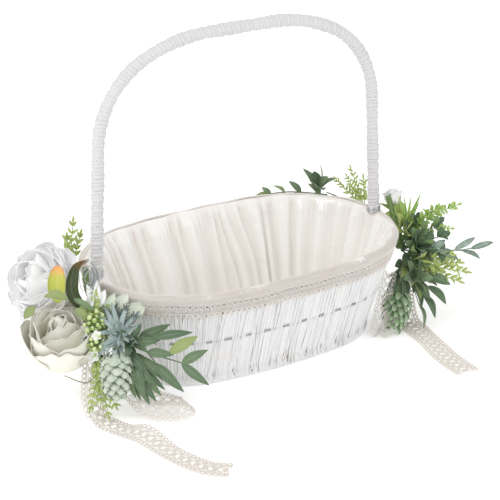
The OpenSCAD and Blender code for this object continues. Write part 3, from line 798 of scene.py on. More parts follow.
def band_pattern(length, width):
    """The rim's lace: y is 0 at its straight heading and width at its scalloped edge."""
    band = Pattern(length, BAND_CELL)
    pitch, x = band.pitch, band.beads()
    heading, net, rings, scallops = (width * share for share in (0.11, 0.40, 0.60, 0.76))
    for k in range(3):
        band.straight(width * (0.015 + 0.04 * k), 1.15)
    band.slanted(0, heading, pitch / 4, pitch / 3, 0.9, 3)
    band.arcs(1.3, band.beads(3), width * 0.015, pitch * 0.13, -0.7 * MM, 0, 180, 6)
    for k in range(int(width * CLOTH_SHARE / CLOTH_ROW)):
        band.straight(heading + k * CLOTH_ROW, 0.95, 0.1 * MM, 2.0)
    band.slanted(heading, net, pitch / 3, pitch * 0.8, 0.95, 7)
    band.straight(net, 1.1, 0.2 * MM)
    for scale in (1.0, 0.72):
        band.arcs(1.1, x, width * 0.50, pitch * 0.42 * scale, width * 0.085 * scale, 0, 350, 15)
    band.straight(rings, 1.1, 0.25 * MM)
    band.slanted(net, rings, pitch, pitch * 0.9, 1.1, 5)
    band.slanted(rings, scallops, pitch / 3, pitch * 0.55, 0.95, 4)
    band.straight(width * 0.765, 1.2)
    band.arcs(1.25, x, width * 0.845, pitch * 0.36, width * 0.06, 0, 350, 13)
    for scale in (1.0, 0.86):
        band.arcs(1.3, x, width * 0.775, pitch * 0.5 * scale, width * 0.155 * scale, 0, 180, 11)
    band.arcs(1.2, x, width * 0.96, 0.55 * MM, width * 0.04, -60, 240, 9)
    return band.threads


def lace(shape, threads, place, tint, thread=THREAD):
    """Adds a pattern's threads, taken from the flat to the object by place(x, y) and shaded by tint(y)."""
    for flat, thick in threads:
        shade = np.full(len(flat), tint(flat[..., 1].mean()))
        tubes(shape, place(flat[..., 0], flat[..., 1]), thread * thick, 5, tint=shade)


def rim_lace():
    """The lace band round the rim: its heading lies over the satin roll and the scallops hang outside."""
    width = 24.5 * MM
    lap = 6.0 * MM  # how much of the width lies over the roll

    def place(x, y):
        down = np.maximum(y - lap, 0)
        top = np.maximum(lap - y, 0)
        ripple = 0.5 * MM * np.sin(x / (3.6 * MM)) * (y / width) ** 2
        bulge = 2.6 * MM * np.sin(math.pi / 2 * np.clip(top / (3.4 * MM), 0, 1))
        z = WALL_HEIGHT - 0.9 * MM - down * math.cos(WALL_LEAN) + 0.4 * ripple
        sway = 0.35 * MM * np.sin(x / (17 * MM)) + 0.25 * MM * np.sin(x / (7.3 * MM))
        inward = top * 0.85 + 0.4 * MM * np.sin(x / (5.1 * MM)) * top / lap
        return outline(x, face(z) - 0.1 * MM - inward + ripple, z + bulge + sway)

    shape = Shape()
    # The tint is lowest at the heading, which darkens it: partly painted shade under the satin roll, partly
    # the lace lying double over the roll.
    lace(shape, band_pattern(PERIMETER, width), place, lambda y: 0.38 + 0.3 * y / width)
    band = shape.build("rim_lace_band", "lace", "rim_lace")


# ---------------------------------------------------------------- handle

LEG_LEAN = math.radians(3)
SHOULDER_RADIUS = 72 * MM
CROWN_RADIUS = 130 * MM
CROWN_SLOPE = math.radians(25)
CORD_PITCH = 2.9 * MM
CORD_RIDGE = 0.95 * MM
CORD_SIDES = 30
BINDING_WIRE = 0.5 * MM
BINDING_TURNS = 5


def handle_line(step):
    """Evenly spaced points on the handle's centre line, from the right foot over to the left foot."""
    crown_rise = CROWN_RADIUS * (1 - math.cos(CROWN_SLOPE))
    shoulder_rise = SHOULDER_RADIUS * (math.cos(CROWN_SLOPE) - math.sin(LEG_LEAN))
    leg_rise = HANDLE_TOP - HANDLE_FOOT - shoulder_rise - crown_rise
    shoulder_x = HANDLE_REACH - leg_rise * math.tan(LEG_LEAN)
    shoulder_z = HANDLE_FOOT + leg_rise
    centre_x = shoulder_x - SHOULDER_RADIUS * math.cos(LEG_LEAN)
    centre_z = shoulder_z - SHOULDER_RADIUS * math.sin(LEG_LEAN)
    bend = np.linspace(LEG_LEAN, math.pi / 2 - CROWN_SLOPE, 40)
    crown_x = centre_x + (SHOULDER_RADIUS - CROWN_RADIUS) * math.sin(CROWN_SLOPE)
    top = np.linspace(math.pi / 2 - CROWN_SLOPE, math.pi / 2, 20)[1:]
    shoulder = centre_x + SHOULDER_RADIUS * np.cos(bend), centre_z + SHOULDER_RADIUS * np.sin(bend)
    crown = crown_x + CROWN_RADIUS * np.cos(top), HANDLE_TOP + CROWN_RADIUS * (np.sin(top) - 1)
    x = np.concatenate([[HANDLE_REACH], shoulder[0], crown[0]])
    z = np.concatenate([[HANDLE_FOOT], shoulder[1], crown[1]])
    x, z = np.concatenate([x, -x[::-1]]), np.concatenate([z, z[::-1]])
    along = np.concatenate([[0], np.cumsum(np.hypot(np.diff(x), np.diff(z)))])
    even = np.arange(0, along[-1], step)
    return np.stack([np.interp(even, along, x), 0 * even, np.interp(even, along, z)], -1), even


def handle_cord():
    """Cord wound closely round the rod: one helical ridge, a little uneven from turn to turn."""
    line, along = handle_line(0.36 * MM)
    turn = np.arange(CORD_SIDES) * 2 * math.pi / CORD_SIDES
    tangent = unit(np.gradient(line, axis=0))
    normal = unit(np.cross([0.0, 1, 0], tangent))
    drift = 0.3 * np.sin(along / (23 * MM)) + 0.2 * np.sin(along / (8.5 * MM))
    wound = (along / CORD_PITCH + drift)[:, None] - turn / (2 * math.pi)
    ridge = np.sqrt(np.clip(1 - (2 * np.mod(wound, 1) - 1) ** 2, 0, 1)) ** 0.8
    uneven = 0.36 * MM * np.sin(2.1 * np.floor(wound)) + 0.24 * MM * np.sin(along[:, None] / (7 * MM))
    radius = WRAP_RADIUS - 1.05 * MM + CORD_RIDGE * ridge + uneven * ridge
    ring = normal[:, None] * np.cos(turn)[:, None] + np.array([0.0, 1, 0]) * np.sin(turn)[:, None]
    points = line[:, None] + radius[..., None] * ring
    shape = Shape()
    ends = np.arange(CORD_SIDES)[None]
    last = (len(line) - 1) * CORD_SIDES
    shape.add(points, [grid_faces(len(line), CORD_SIDES, around=True), ends[:, ::-1], last + ends])
    shape.build("handle_cord", "cord", "handle_wrap")


def handle_binding(node, side):
    """Bright wire wound round the foot of the cord, with stitches down over the rim."""
    low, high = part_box(node)
    centre = np.array([(low.x + high.x) / 2, (low.y + high.y) / 2, 0])
    turn = np.linspace(0, 2 * math.pi * BINDING_TURNS, 140)
    height = np.linspace(low.z - 0.6 * MM, high.z + 0.4 * MM, 140)
    reach = WRAP_RADIUS + 0.35 * MM
    coil = centre + np.stack([reach * np.cos(turn), reach * np.sin(turn), height], -1)
    shape = Shape()
    tubes(shape, coil, BINDING_WIRE, 7)
    for y in (-4.2, -1.6, 1.4, 4.0):
        stitch = curve([
            centre + [side * (4.9 - abs(y) * 0.3) * MM, y * MM, low.z + 1.6 * MM],
            centre + [side * 6.3 * MM, y * 1.1 * MM, low.z - 2.5 * MM],
            centre + [side * 5.4 * MM, y * 1.3 * MM, low.z - 9 * MM],
            centre + [side * 2.0 * MM, y * 1.3 * MM, low.z - 13 * MM],
        ], 16)
        tubes(shape, stitch, BINDING_WIRE * 0.9, 6)
    shape.build(node + "_wire", "wire", node)


# ---------------------------------------------------------------- leaves

LEAF_THICKNESS = 0.4 * MM
LEAF_ARCH = 0.12
FAN_ARCH = 0.1
SPRIG_TAPER = 0.3
GROUND_GAP = 0.35 * MM


def blade(shape, midline, facing, width, cup=0.2, tint=0.5, full=0.42, sharp=0.85, ripple=0.0,
          rows=15, cols=9, twist=0.0):
    """A leaf along a midline: full is where it is widest, sharp how pointed it is, cup how far it folds."""
    line = curve(midline, rows)
    tangent = unit(np.gradient(line, axis=0))
    share = np.linspace(0, 1, rows)
    side = unit(np.cross(facing, tangent))
    normal = np.cross(tangent, side)
    if twist:
        turn = (twist * share)[:, None]
        side = side * np.cos(turn) + normal * np.sin(turn)
        normal = np.cross(tangent, side)
    skew = math.log(0.5) / math.log(full)
    half = width / 2 * np.maximum(np.sin(math.pi * share**skew) ** sharp, 0.05)
    across = np.linspace(-1, 1, cols)
    across = np.sign(across) * np.abs(across) ** 1.25
    lift = cup * half[:, None] * across**2 + 0.12 * MM * (1 - bump(across, 0.2))
    lift = lift + ripple * np.sin(share * 19)[:, None] * across**2
    surface = line[:, None] + side[:, None] * (half[:, None] * across)[..., None]
    surface = surface + normal[:, None] * lift[..., None]
    surface[..., 2] = np.maximum(surface[..., 2], GROUND_GAP)
    slab(shape, surface, LEAF_THICKNESS, tint)


def leaf(shape, root, tip, facing, width, arch=LEAF_ARCH, **more):
    """A leaf from root to tip that arches towards the way it faces."""
    root, tip = np.asarray(root, float), np.asarray(tip, float)
    length = np.linalg.norm(tip - root)
    middle = (root + tip) / 2 + unit(facing) * arch * length
    blade(shape, [root, middle, tip], facing, width, **more)


def stem(shape, points, radius, tint=0.2, count=20):
    line = curve(points, count)
    line[:, 2] = np.maximum(line[:, 2], radius + 0.1 * MM)
    tubes(shape, line, np.linspace(radius, radius * 0.55, count)[None], 7, tint=[tint])
    return line


def sprig(shape, points, pairs, length, width, facing, rng, spread=45, radius=0.75 * MM, start=0.2,
          tilt=0.25, **more):
    """A stem through the points with leaves down both sides and one at its tip."""
    line = stem(shape, points, radius)
    tangent = unit(np.gradient(line, axis=0))
    facing = unit(facing)
    for i in range(pairs):
        share = start + (0.93 - start) * i / (pairs - 1)
        at = share * (len(line) - 1)
        k = min(int(at), len(line) - 2)
        root = line[k] + (line[k + 1] - line[k]) * (at - k)
        lateral = unit(np.cross(facing, tangent[k]))
        size = (1 - SPRIG_TAPER * share) * rng.uniform(0.85, 1.12)
        for way in (-1, 1):
            angle = math.radians(spread + rng.uniform(-9, 9))
            ahead = unit(tangent[k] * math.cos(angle) + way * lateral * math.sin(angle)
                         + facing * rng.uniform(-tilt, tilt))
            look = unit(facing + rng.normal(0, 0.22, 3))
            leaf(shape, root, root + ahead * length * size, look, width * size * rng.uniform(0.9, 1.08),
                 tint=rng.uniform(0.15, 1), **more)
    end = line[-1]
    tip = end + tangent[-1] * length * (1 - SPRIG_TAPER) * 0.9
    leaf(shape, end - tangent[-1] * 0.5 * MM, tip, facing, width * (1 - SPRIG_TAPER) * 0.9,
         arch=LEAF_ARCH * 0.6, tint=rng.uniform(0.3, 1), **more)


def fan(shape, root, tips, length, width, facing, rng, tint=(0.1, 1), **more):
    """Leaves that end at the given tips, each on a thin stem from the root where it cannot reach it."""
    facing = unit(facing)
    for tip in tips:
        way = tip - root
        reach = np.linalg.norm(way)
        own = min(length * rng.uniform(0.9, 1.1), reach)
        start = tip - way / reach * own + facing * (reach - own) * 0.08
        if reach > own * 1.02:
            stem(shape, [root, (root + start) / 2 + facing * 1.5 * MM, start], 0.6 * MM, count=9)
        look = unit(facing + rng.normal(0, 0.25, 3))
        leaf(shape, start, tip, look, width * rng.uniform(0.85, 1.1), arch=FAN_ARCH,
             tint=rng.uniform(*tint), **more)


def clump(shape, centre, count, length, width, facing, rng, spread=75, tint=(0, 0.6), **more):
    """Leaves bunched about one point, fanned out round the way they face."""
    facing = unit(facing)
    first = unit(np.cross(facing, [0.3, 0.2, 0.9]))
    second = np.cross(facing, first)
    for i in range(count):
        angle = math.radians(spread) * math.sqrt((i + 0.5) / count)
        turn = i * GOLDEN_ANGLE
        out = first * math.cos(turn) + second * math.sin(turn)
        ahead = facing * math.cos(angle) + out * math.sin(angle)
        tip = centre + ahead * length * rng.uniform(0.8, 1.15)
        look = unit(facing + rng.normal(0, 0.3, 3))
        leaf(shape, centre + ahead * 2 * MM, tip, look, width * rng.uniform(0.8, 1.1),
             tint=rng.uniform(*tint), **more)


# The stems of each spray meet in a knot at one low corner of its bundle's box.
LEFT_LOW, LEFT_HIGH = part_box("left_stem_bundle")
RIGHT_LOW, RIGHT_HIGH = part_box("right_stem_bundle")
LEFT_KNOT = 7 * MM
RIGHT_KNOT = 6 * MM
HUB_LEFT = np.array([LEFT_HIGH.x - LEFT_KNOT, LEFT_LOW.y + LEFT_KNOT, LEFT_LOW.z + LEFT_KNOT])
HUB_RIGHT = np.array([RIGHT_LOW.x + RIGHT_KNOT, RIGHT_LOW.y + RIGHT_KNOT, RIGHT_LOW.z + RIGHT_KNOT])


def left(x, y, z):
    """A point of the left spray, in millimetres from its hub."""
    return HUB_LEFT + np.array([x, y, z]) * MM


def right(x, y, z):
    """A point of the right spray, in millimetres from its hub."""
    return HUB_RIGHT + np.array([x, y, z]) * MM


def spots(side, *places):
    """Several points of one spray."""
    return [side(*place) for place in places]


# ---------------------------------------------------------------- flowers

PETAL_ROWS = 17
PETAL_COLUMNS = 15
PETAL_STEPS = 60
BLOSSOM_PETALS = 5
BERRIES_PER_HEAD = 34


def petal(shape, centre, axis, spin, start, end, length, width, *, cup, notch, base, tint,
          curl=0.0, ruffle=0.0, phase=0.0, thickness=0.6 * MM):
    """A petal that leaves its flower's axis at angle start and ends at angle end, in degrees."""
    axis = unit(axis)
    first = unit(np.cross(axis, [0.3, 0.5, 0.8]))
    second = np.cross(axis, first)
    outward = first * math.cos(spin) + second * math.sin(spin)
    sideways = -first * math.sin(spin) + second * math.cos(spin)
    fine = np.linspace(0, 1, PETAL_STEPS)
    angle = np.radians(start + (end - start) * fine**1.1) + math.radians(curl) * smooth((fine - 0.72) / 0.28)
    out = np.concatenate([[0], np.cumsum(np.sin(angle))[:-1]]) / PETAL_STEPS * length
    high = np.concatenate([[0], np.cumsum(np.cos(angle))[:-1]]) / PETAL_STEPS * length
    u = np.linspace(-1, 1, PETAL_COLUMNS)[None]
    v = np.linspace(0, 1, PETAL_ROWS)[:, None]
    reach = v * (1 - 0.16 * u**2 - notch * bump(u, 0.22) + 0.02 * np.sin(9 * u + phase))
    lean = np.interp(reach, fine, angle)
    half = width * (0.22 + 0.78 * np.sin(math.pi * (0.05 + 0.60 * v)))
    half = half * (1 - 0.34 * smooth((v - 0.78) / 0.22))
    drop = cup * (half * u) ** 2 / width
    wave = ruffle * v**2 * np.sin(3.3 * u + phase + 4 * v)
    radial = base + np.interp(reach, fine, out) - drop * np.cos(lean) - wave * np.cos(lean)
    height = np.interp(reach, fine, high) + drop * np.sin(lean) * 0.8 + wave * np.sin(lean)
    surface = centre + outward * radial[..., None] + sideways * (half * u)[..., None]
    surface = surface + axis * height[..., None]
    surface[..., 2] = np.maximum(surface[..., 2], 0.5 * MM)
    slab(shape, surface, thickness, tint)


def petals(shape, centre, axis, rings, rng, unit_length, cup=0.55):
    """Rings of petals: each ring is (count, start, end, length, width, curl, ruffle) with sizes in radii."""
    for k, (count, start, end, length, width, curl, ruffle) in enumerate(rings):
        for i in range(count):
            spin = 2 * math.pi * (i + 0.5 * (k % 2)) / count + rng.uniform(-0.16, 0.16)
            petal(shape, centre, axis, spin, start + rng.uniform(-5, 5), end + rng.uniform(-7, 7),
                  length * unit_length * rng.uniform(0.93, 1.07),
                  width * unit_length * rng.uniform(0.92, 1.08),
                  curl=curl + rng.uniform(-8, 8), ruffle=ruffle * unit_length, notch=rng.uniform(0.0, 0.12),
                  cup=cup, tint=rng.uniform(0, 1), phase=rng.uniform(0, 6), base=0.08 * unit_length)


def peony():
    """A full-blown flower of broad soft petals, open to the left of the basket."""
    rng = np.random.default_rng(21)
    centre = spot("left_peony_heart", 0.5, 0.5, 0.5)
    low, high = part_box("left_peony_petals")
    radius = (high.y - low.y) / 2 * 1.12
    facing = unit([-0.75, -0.20, 0.63])
    foot = centre - facing * radius * 0.58
    outer, inner = Shape(), Shape()
    petals(outer, foot, facing, [
        (5, 100, 48, 1.22, 0.80, -30, 0.03), (5, 84, 20, 1.26, 0.82, -22, 0.03),
        (4, 66, -2, 1.26, 0.84, -16, 0.03)
    ], rng, radius)
    petals(inner, foot + facing * radius * 0.1, facing, [
        (4, 48, -34, 1.24, 0.76, -4, 0.03), (3, 30, -46, 1.14, 0.62, 0, 0.03),
        (3, 12, -36, 0.96, 0.40, 0, 0.03)
    ], rng, radius, cup=0.75)
    outer.build("peony_outer_petals", "peony", "left_peony_petals")
    inner.build("peony_inner_petals", "peony", "left_peony_heart")


def rose():
    """A half-open rose: broad petals wrap the bud, and their edges roll outwards."""
    rng = np.random.default_rng(14)
    low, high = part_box("left_rose_petals")
    radius = (high.z - low.z) / 2 * 1.14
    centre = spot("left_rose_heart", 0.5, 0.5, 0.5) + np.array([3.5, -2.5, -5.5]) * MM
    facing = unit([-0.22, -0.30, 0.93])
    foot = centre - facing * radius * 0.86
    outer, inner = Shape(), Shape()
    petals(outer, foot, facing, [
        (4, 84, -24, 2.02, 1.04, 24, 0.03), (4, 72, -32, 2.02, 1.00, 44, 0.03),
        (3, 60, -40, 2.00, 0.98, 50, 0.03)
    ], rng, radius, cup=0.62)
    petals(inner, foot + facing * radius * 0.08, facing, [
        (3, 46, -42, 1.92, 0.84, 40, 0.02), (3, 32, -40, 1.84, 0.62, 30, 0.02),
        (3, 14, -26, 1.72, 0.36, 20, 0.02)
    ], rng, radius, cup=0.7)
    outer.build("rose_outer_petals", "rose", "left_rose_petals")
    inner.build("rose_inner_petals", "rose", "left_rose_heart")


def small_blossom(shape, centre, axis, size, rng):
    """A little star-shaped blossom on a short cup."""
    for i in range(BLOSSOM_PETALS):
        spin = 2 * math.pi * i / BLOSSOM_PETALS + rng.uniform(-0.1, 0.1)
        petal(shape, centre, axis, spin, 62, 48, size, size * 0.36, cup=0.3, notch=-0.16, base=0.3 * MM,
              tint=rng.uniform(0, 1), thickness=0.35 * MM)
    stem(shape, [centre - unit(axis) * size * 0.8, centre], 0.6 * MM, 0.5, 6)


def berries():
    """A head of small round berries on short stalks."""
    rng = np.random.default_rng(5)
    shape = Shape()
    for centre, radius in ((left(-22, 0, 19), 8.2), (left(-24, -6, 5), 8.6)):
        for i in range(BERRIES_PER_HEAD):
            height = 1 - (2 * i + 1) / BERRIES_PER_HEAD
            turn = i * GOLDEN_ANGLE
            flat = math.sqrt(1 - height**2)
            way = np.array([flat * math.cos(turn), flat * math.sin(turn), height])
            reach = radius * rng.uniform(0.62, 1.05) * MM
            place = centre + way * reach
            ball(shape, place, rng.uniform(1.2, 2.0) * MM, rng.uniform(0, 1))
            tubes(shape, np.stack([centre + way * 1.5 * MM, place]), 0.4 * MM, 5, tint=[0.2])
    shape.build("berry_head", "berry", "left_berries")


def scales(shape, root, tip, radius, count, scale_length, scale_width, rng, flare, **more):
    """Overlapping scales in a spiral round an axis, from the root down to the tip."""
    axis = unit(tip - root)
    first = unit(np.cross(axis, [0.9, 0.3, 0.2]))
    second = np.cross(axis, first)
    length = np.linalg.norm(tip - root)
    for i in range(count):
        share = (i + 0.5) / count
        turn = i * GOLDEN_ANGLE
        out = first * math.cos(turn) + second * math.sin(turn)
        reach = radius * math.sin(math.pi * (0.14 + 0.78 * share)) ** 0.7
        start = root + axis * length * share * 0.86 + out * reach * 0.66
        angle = math.radians(flare * (1 - 0.5 * share))
        ahead = axis * math.cos(angle) + out * math.sin(angle)
        size = (1 - 0.35 * share) * rng.uniform(0.9, 1.1)
        leaf(shape, start, start + ahead * scale_length * size, out, scale_width * size,
             arch=0.16, tint=rng.uniform(0, 1), rows=9, cols=7, **more)
    tubes(shape, np.stack([root, root + (tip - root) * 0.9]), radius * 0.3, 8, tint=[0.1])


def hop_cone():
    """A papery cone of broad cupped scales that hangs from the left spray."""
    rng = np.random.default_rng(6)
    shape = Shape()
    scales(shape, left(-13, -17, 1), left(-21, -28, -30), 9.5 * MM, 52, 13 * MM, 9.5 * MM, rng,
           flare=46, full=0.55, sharp=0.8, cup=-0.35, ripple=0.8 * MM)
    shape.build("hop_cone_scales", "cone", "left_hop_cone")


def cone_tuft():
    """A long tuft of narrow scale leaves that hangs from the right spray."""
    rng = np.random.default_rng(7)
    shape = Shape()
    scales(shape, right(-14, -19, -34), right(-28, -30, -63), 6.5 * MM, 70, 13 * MM, 5.0 * MM, rng,
           flare=52, full=0.5, cup=0.3, sharp=0.7)
    shape.build("cone_tuft_leaves", "tuft", "right_cone_tuft")


def bud():
    """A white bud that begins to open at the handle's right foot."""
    rng = np.random.default_rng(9)
    shape = Shape()
    low, high = right(8, 21, 22), right(10, 28, 36)
    petals(shape, low, high - low, [(4, 40, 8, 0.94, 0.42, 24, 0.05), (4, 26, -4, 1.0, 0.36, 16, 0.05),
                                    (3, 10, -8, 1.0, 0.24, 8, 0.03)], rng, np.linalg.norm(high - low))
    shape.build("white_bud_petals", "blossom", "right_white_bud")


# ---------------------------------------------------------------- left spray

BUNDLE_RADIUS = 3 * MM
FINE_FROND = {"radius": 0.5 * MM, "rows": 8, "cols": 5}


def stem_bundle(node, points, seed):
    """Wire stems wrapped with floral tape, with a padded knot at the hub, the first of the points."""
    rng = np.random.default_rng(seed)
    hub = points[0]
    shape = Shape()
    line = curve(points, 60)
    along = np.linspace(0, 1, 60)
    wrap = BUNDLE_RADIUS * (1 + 0.07 * np.sin(along * 90)) * (1 - 0.25 * along)
    tubes(shape, line, wrap[None], 12, tint=[0.4])
    for _ in range(7):
        way = unit(rng.normal(0, 1, 3))
        knot = curve([hub - way * 6 * MM, hub + rng.normal(0, 1, 3) * MM, hub + way * 6 * MM], 9)
        tubes(shape, knot, 1.7 * MM, 7, tint=[rng.uniform(0, 1)])
    shape.build(node + "_taped", "tape", node)


def calyx_leaf():
    shape = Shape()
    midline = spots(left, (-41, 20, 31), (-40, 23, 45), (-36, 28, 57))
    blade(shape, midline, [-0.5, -0.8, 0.2], 13 * MM, cup=0.45, full=0.5, sharp=0.5, tint=0.6)
    shape.build("calyx_leaf", "calyx", "left_calyx_leaf")


def curled_leaf():
    shape = Shape()
    midline = spots(left, (-24, 13, 24), (-30, 19, 36), (-28, 23, 47), (-23, 25, 55), (-13, 24, 58))
    blade(shape, midline, [-0.4, -0.8, 0.3], 9.5 * MM, cup=0.6, full=0.34, sharp=0.6, tint=0.1, twist=0.7,
          rows=23)
    shape.build("curled_leaf", "curled", "left_curled_leaf")


def rose_leaves():
    rng = np.random.default_rng(40)
    shape = Shape()
    fan(shape, left(-26, -2, 0), spots(left, (-46, 2, -12), (-20, -8, -16)), 20 * MM, 9 * MM, OUT_LEFT, rng)
    leaf(shape, left(-58, 24, 31), left(-66, 26, 22), OUT_LEFT, 7 * MM, tint=0.9)
    leaf(shape, left(-39, 9, 38), left(-52, 20, 39), [-0.3, -0.4, 0.8], 8 * MM, arch=0.25, tint=1.0)
    leaf(shape, left(-35, 5, 31), left(-26, 1, 21), [-0.3, -0.7, 0.6], 6 * MM, arch=0.15, tint=0.9)
    leaf(shape, left(-32, 13, 35), left(-20, 2, 26), [-0.3, -0.7, 0.6], 4.5 * MM, arch=0.2, tint=0.8)
    clump(shape, left(-18, 2, 6), 9, 15 * MM, 7 * MM, OUT_LEFT, rng, tint=(0.3, 1))
    shape.build("rose_leaves", "olive", "left_rose_leaves")


def pale_leaves():
    shape = Shape()
    facing = [-0.2, -0.9, 0.4]
    leaf(shape, left(-9, 2, 13), left(18, -4, 26), [-0.2, -0.9, 0.3], 14 * MM, cup=0.3, full=0.5, sharp=0.6,
         tint=0.4)
    leaf(shape, left(-6, 5, 20), left(8, 4, 33), facing, 10 * MM, cup=0.3, full=0.5, tint=0.9)
    leaf(shape, left(-12, 4, 22), left(-2, 6, 35), facing, 8 * MM, cup=0.3, tint=0.1)
    shape.build("pale_leaves", "pale", "left_pale_leaf")


def left_dusty_sprig(rng):
    shape = Shape()
    tips = spots(
        left, (-26, -6, 13), (-19, 1, 25), (-6, 3, 30), (4, -2, 27), (12, -7, 22), (11, -12, 15),
        (-29, -15, -3), (-23, -18, 0), (-20, -22, -5), (2, -22, 4), (-11, -24, -5), (-26, -14, 7),
        (-14, -1, 29)
    )
    fan(shape, left(-9, -14, 12), tips, 30 * MM, 3.5 * MM, OUT_LEFT, rng, cup=0.5, full=0.45)
    clump(shape, left(-10, -16, 12), 16, 11 * MM, 2.8 * MM, OUT_LEFT, rng, spread=88, tint=(0.0, 1), cup=0.5)
    shape.build("dusty_leaves", "dusty", "left_dusty_sprig")


def left_rosemary(rng):
    shape = Shape()
    for tip in ((2, -4, 27), (7, -9, 21), (-4, 1, 28), (-12, 2, 26)):
        sprig(shape, spots(left, (-8, -11, 9), tip), 10, 6.5 * MM, 1.4 * MM, OUT_LEFT, rng, spread=38,
              tilt=0.8, start=0.1, radius=0.6 * MM, rows=7, cols=5)
    shape.build("rosemary_needles", "needle", "left_rosemary")


def left_olive_upper(rng):
    shape = Shape()
    tips = spots(left, (17, -28, 6), (27, -25, 15), (37, -40, 12))
    fan(shape, left(-4, -14, 4), tips, 25 * MM, 7.6 * MM, OUT_LEFT, rng, tint=(0, 0.45))
    leaf(shape, left(18, -38, -1), left(38, -46, 11), [-0.3, -0.7, 0.6], 8.4 * MM, tint=1.0)
    clump(shape, left(-3, -14, 4), 9, 18 * MM, 6.5 * MM, [0.1, -0.9, 0.3], rng, tint=(0, 0.5))
    shape.build("olive_upper_leaves", "olive", "left_olive_upper")


def left_olive_twig():
    shape = Shape()
    stem(shape, spots(left, (-1, -17, 5), (5, -29, 0), (24, -49, -6)), 0.8 * MM)
    for root, tip, width, tint in (
        ((5, -29, 0), (21, -40, -2), 7, 0.4), ((23, -48, -6), (41, -55, 3), 7.5, 0.5),
        ((23, -48, -6), (36, -65, -20), 7, 0.3), ((9, -36, -8), (20, -56, -25), 8, 0.2)
    ):
        leaf(shape, left(*root), left(*tip), OUT_LEFT, width * MM, tint=tint)
    stem(shape, spots(left, (5, -29, 0), (9, -36, -8)), 0.6 * MM)
    shape.build("olive_twig_leaves", "olive", "left_olive_twig")


def left_olive_lower(rng):
    shape = Shape()
    tips = spots(
        left, (-6, -38, -33), (-1, -42, -36), (7, -46, -29), (-12, -31, -26), (12, -45, -20), (-3, -41, -25),
        (-8, -35, -18), (3, -45, -33), (14, -40, -11), (1, -38, -14), (4, -43, -22), (-9, -37, -31),
        (10, -46, -25), (-4, -42, -31)
    )
    fan(shape, left(-5, -18, 0), tips, 25 * MM, 6.4 * MM, OUT_LEFT, rng, tint=(0, 0.75), cup=0.35)
    shape.build("olive_lower_leaves", "olive", "left_olive_lower")


def left_fern(rng):
    shape = Shape()
    for tip in ((-29, -19, -34), (-26, -25, -45), (-36, -16, -41), (-20, -25, -39)):
        sprig(shape, spots(left, (-26, -11, -17), tip), 5, 7 * MM, 2.4 * MM, OUT_LEFT, rng, spread=42,
              tilt=0.5, **FINE_FROND)
    for ends in (((-24, 2, 14), (-16, 9, 36)), ((-24, 0, 8), (-10, 6, 32)),
                 ((-24, -4, 0), (-27, -10, -20)), ((-20, -4, 10), (-24, 10, 28))):
        sprig(shape, spots(left, *ends), 6, 7 * MM, 3.2 * MM, OUT_LEFT, rng, spread=44, tilt=0.6,
              **FINE_FROND)
    shape.build("fern_fronds", "fern", "left_fern")


def left_stalk():
    shape = Shape()
    stem(shape, spots(left, (-24, -8, -18), (-33, -4, -26), (-45, 8, -22)), 0.6 * MM, 0.4)
    shape.build("bare_stalk", "stalk", "left_stalk")


def left_bud_sprig(rng):
    shape = Shape()
    for tip in ((-3, 69, 70), (-10, 66, 60), (3, 70, 58)):
        sprig(shape, spots(left, (-8, 71, 26), tip), 6, 8 * MM, 3.4 * MM, OUT_LEFT, rng, spread=34, tilt=0.5,
              radius=0.6 * MM, rows=8, cols=7)
    shape.build("bud_sprig_leaves", "fern", "left_bud_sprig")


def left_filler_blossoms(rng):
    shape = Shape()
    for place, size in (((-28, 5, 11), 6), ((-30, 2, 2), 6), ((-27, -6, -5), 6), ((-20, 10, 30), 5),
                        ((-25, -8, 12), 4.5), ((-22, -10, -10), 4.5)):
        small_blossom(shape, left(*place), OUT_LEFT + rng.normal(0, 0.3, 3), size * MM, rng)
    shape.build("filler_blossoms", "blossom", "left_filler_blossoms")


def left_lily():
    shape = Shape()
    for tip, width in (((-19, 17, 42), 6.5), ((-12, 14, 45), 6), ((-8, 9, 38), 7), ((-18, 12, 37), 5)):
        leaf(shape, left(-16, 8, 26), left(*tip), [-0.4, -0.8, 0.3], width * MM, cup=0.4, tint=0.6)
    shape.build("lily_petals", "blossom", "left_lily")


def left_spray():
    """The left spray's small greenery, all from one stream of random numbers."""
    rng = np.random.default_rng(12)
    left_dusty_sprig(rng)
    left_rosemary(rng)
    left_olive_upper(rng)
    left_olive_twig()
    left_olive_lower(rng)
    left_fern(rng)
    left_stalk()
    left_bud_sprig(rng)
    left_filler_blossoms(rng)
    left_lily()


# ---------------------------------------------------------------- right spray


def right_foot_leaves(rng):
    shape = Shape()
    tips = spots(
        right, (0, 30, 24), (4, 30, 30), (8, 26, 31), (0, 22, 18), (14, 26, 28), (6, 18, 26), (2, 14, 12)
    )
    fan(shape, right(8, 12, 15), tips, 20 * MM, 10 * MM, OUT_RIGHT, rng, cup=0.3)
    clump(shape, right(6, 6, 8), 9, 18 * MM, 8 * MM, OUT_RIGHT, rng, tint=(0.0, 0.8))
    shape.build("foot_leaves", "fern", "right_foot_leaves")


def right_grass(rng):
    shape = Shape()
    for x, y, z in ((12, 21, 32), (15, 17, 31), (19, 13, 32), (23, 7, 28), (24, 0, 20), (27, 10, 34),
                    (24, -7, 15), (9, 14, 28), (17, 6, 24)):
        midline = spots(right, (4, 0, 0), (4 + (x - 4) * 0.35, y * 0.3, z * 0.6), (x, y, z))
        blade(shape, midline, OUT_RIGHT, 3.8 * MM, cup=0.5, tint=rng.uniform(0, 1), full=0.35, rows=17)
    shape.build("grass_blades", "grass", "right_grass")


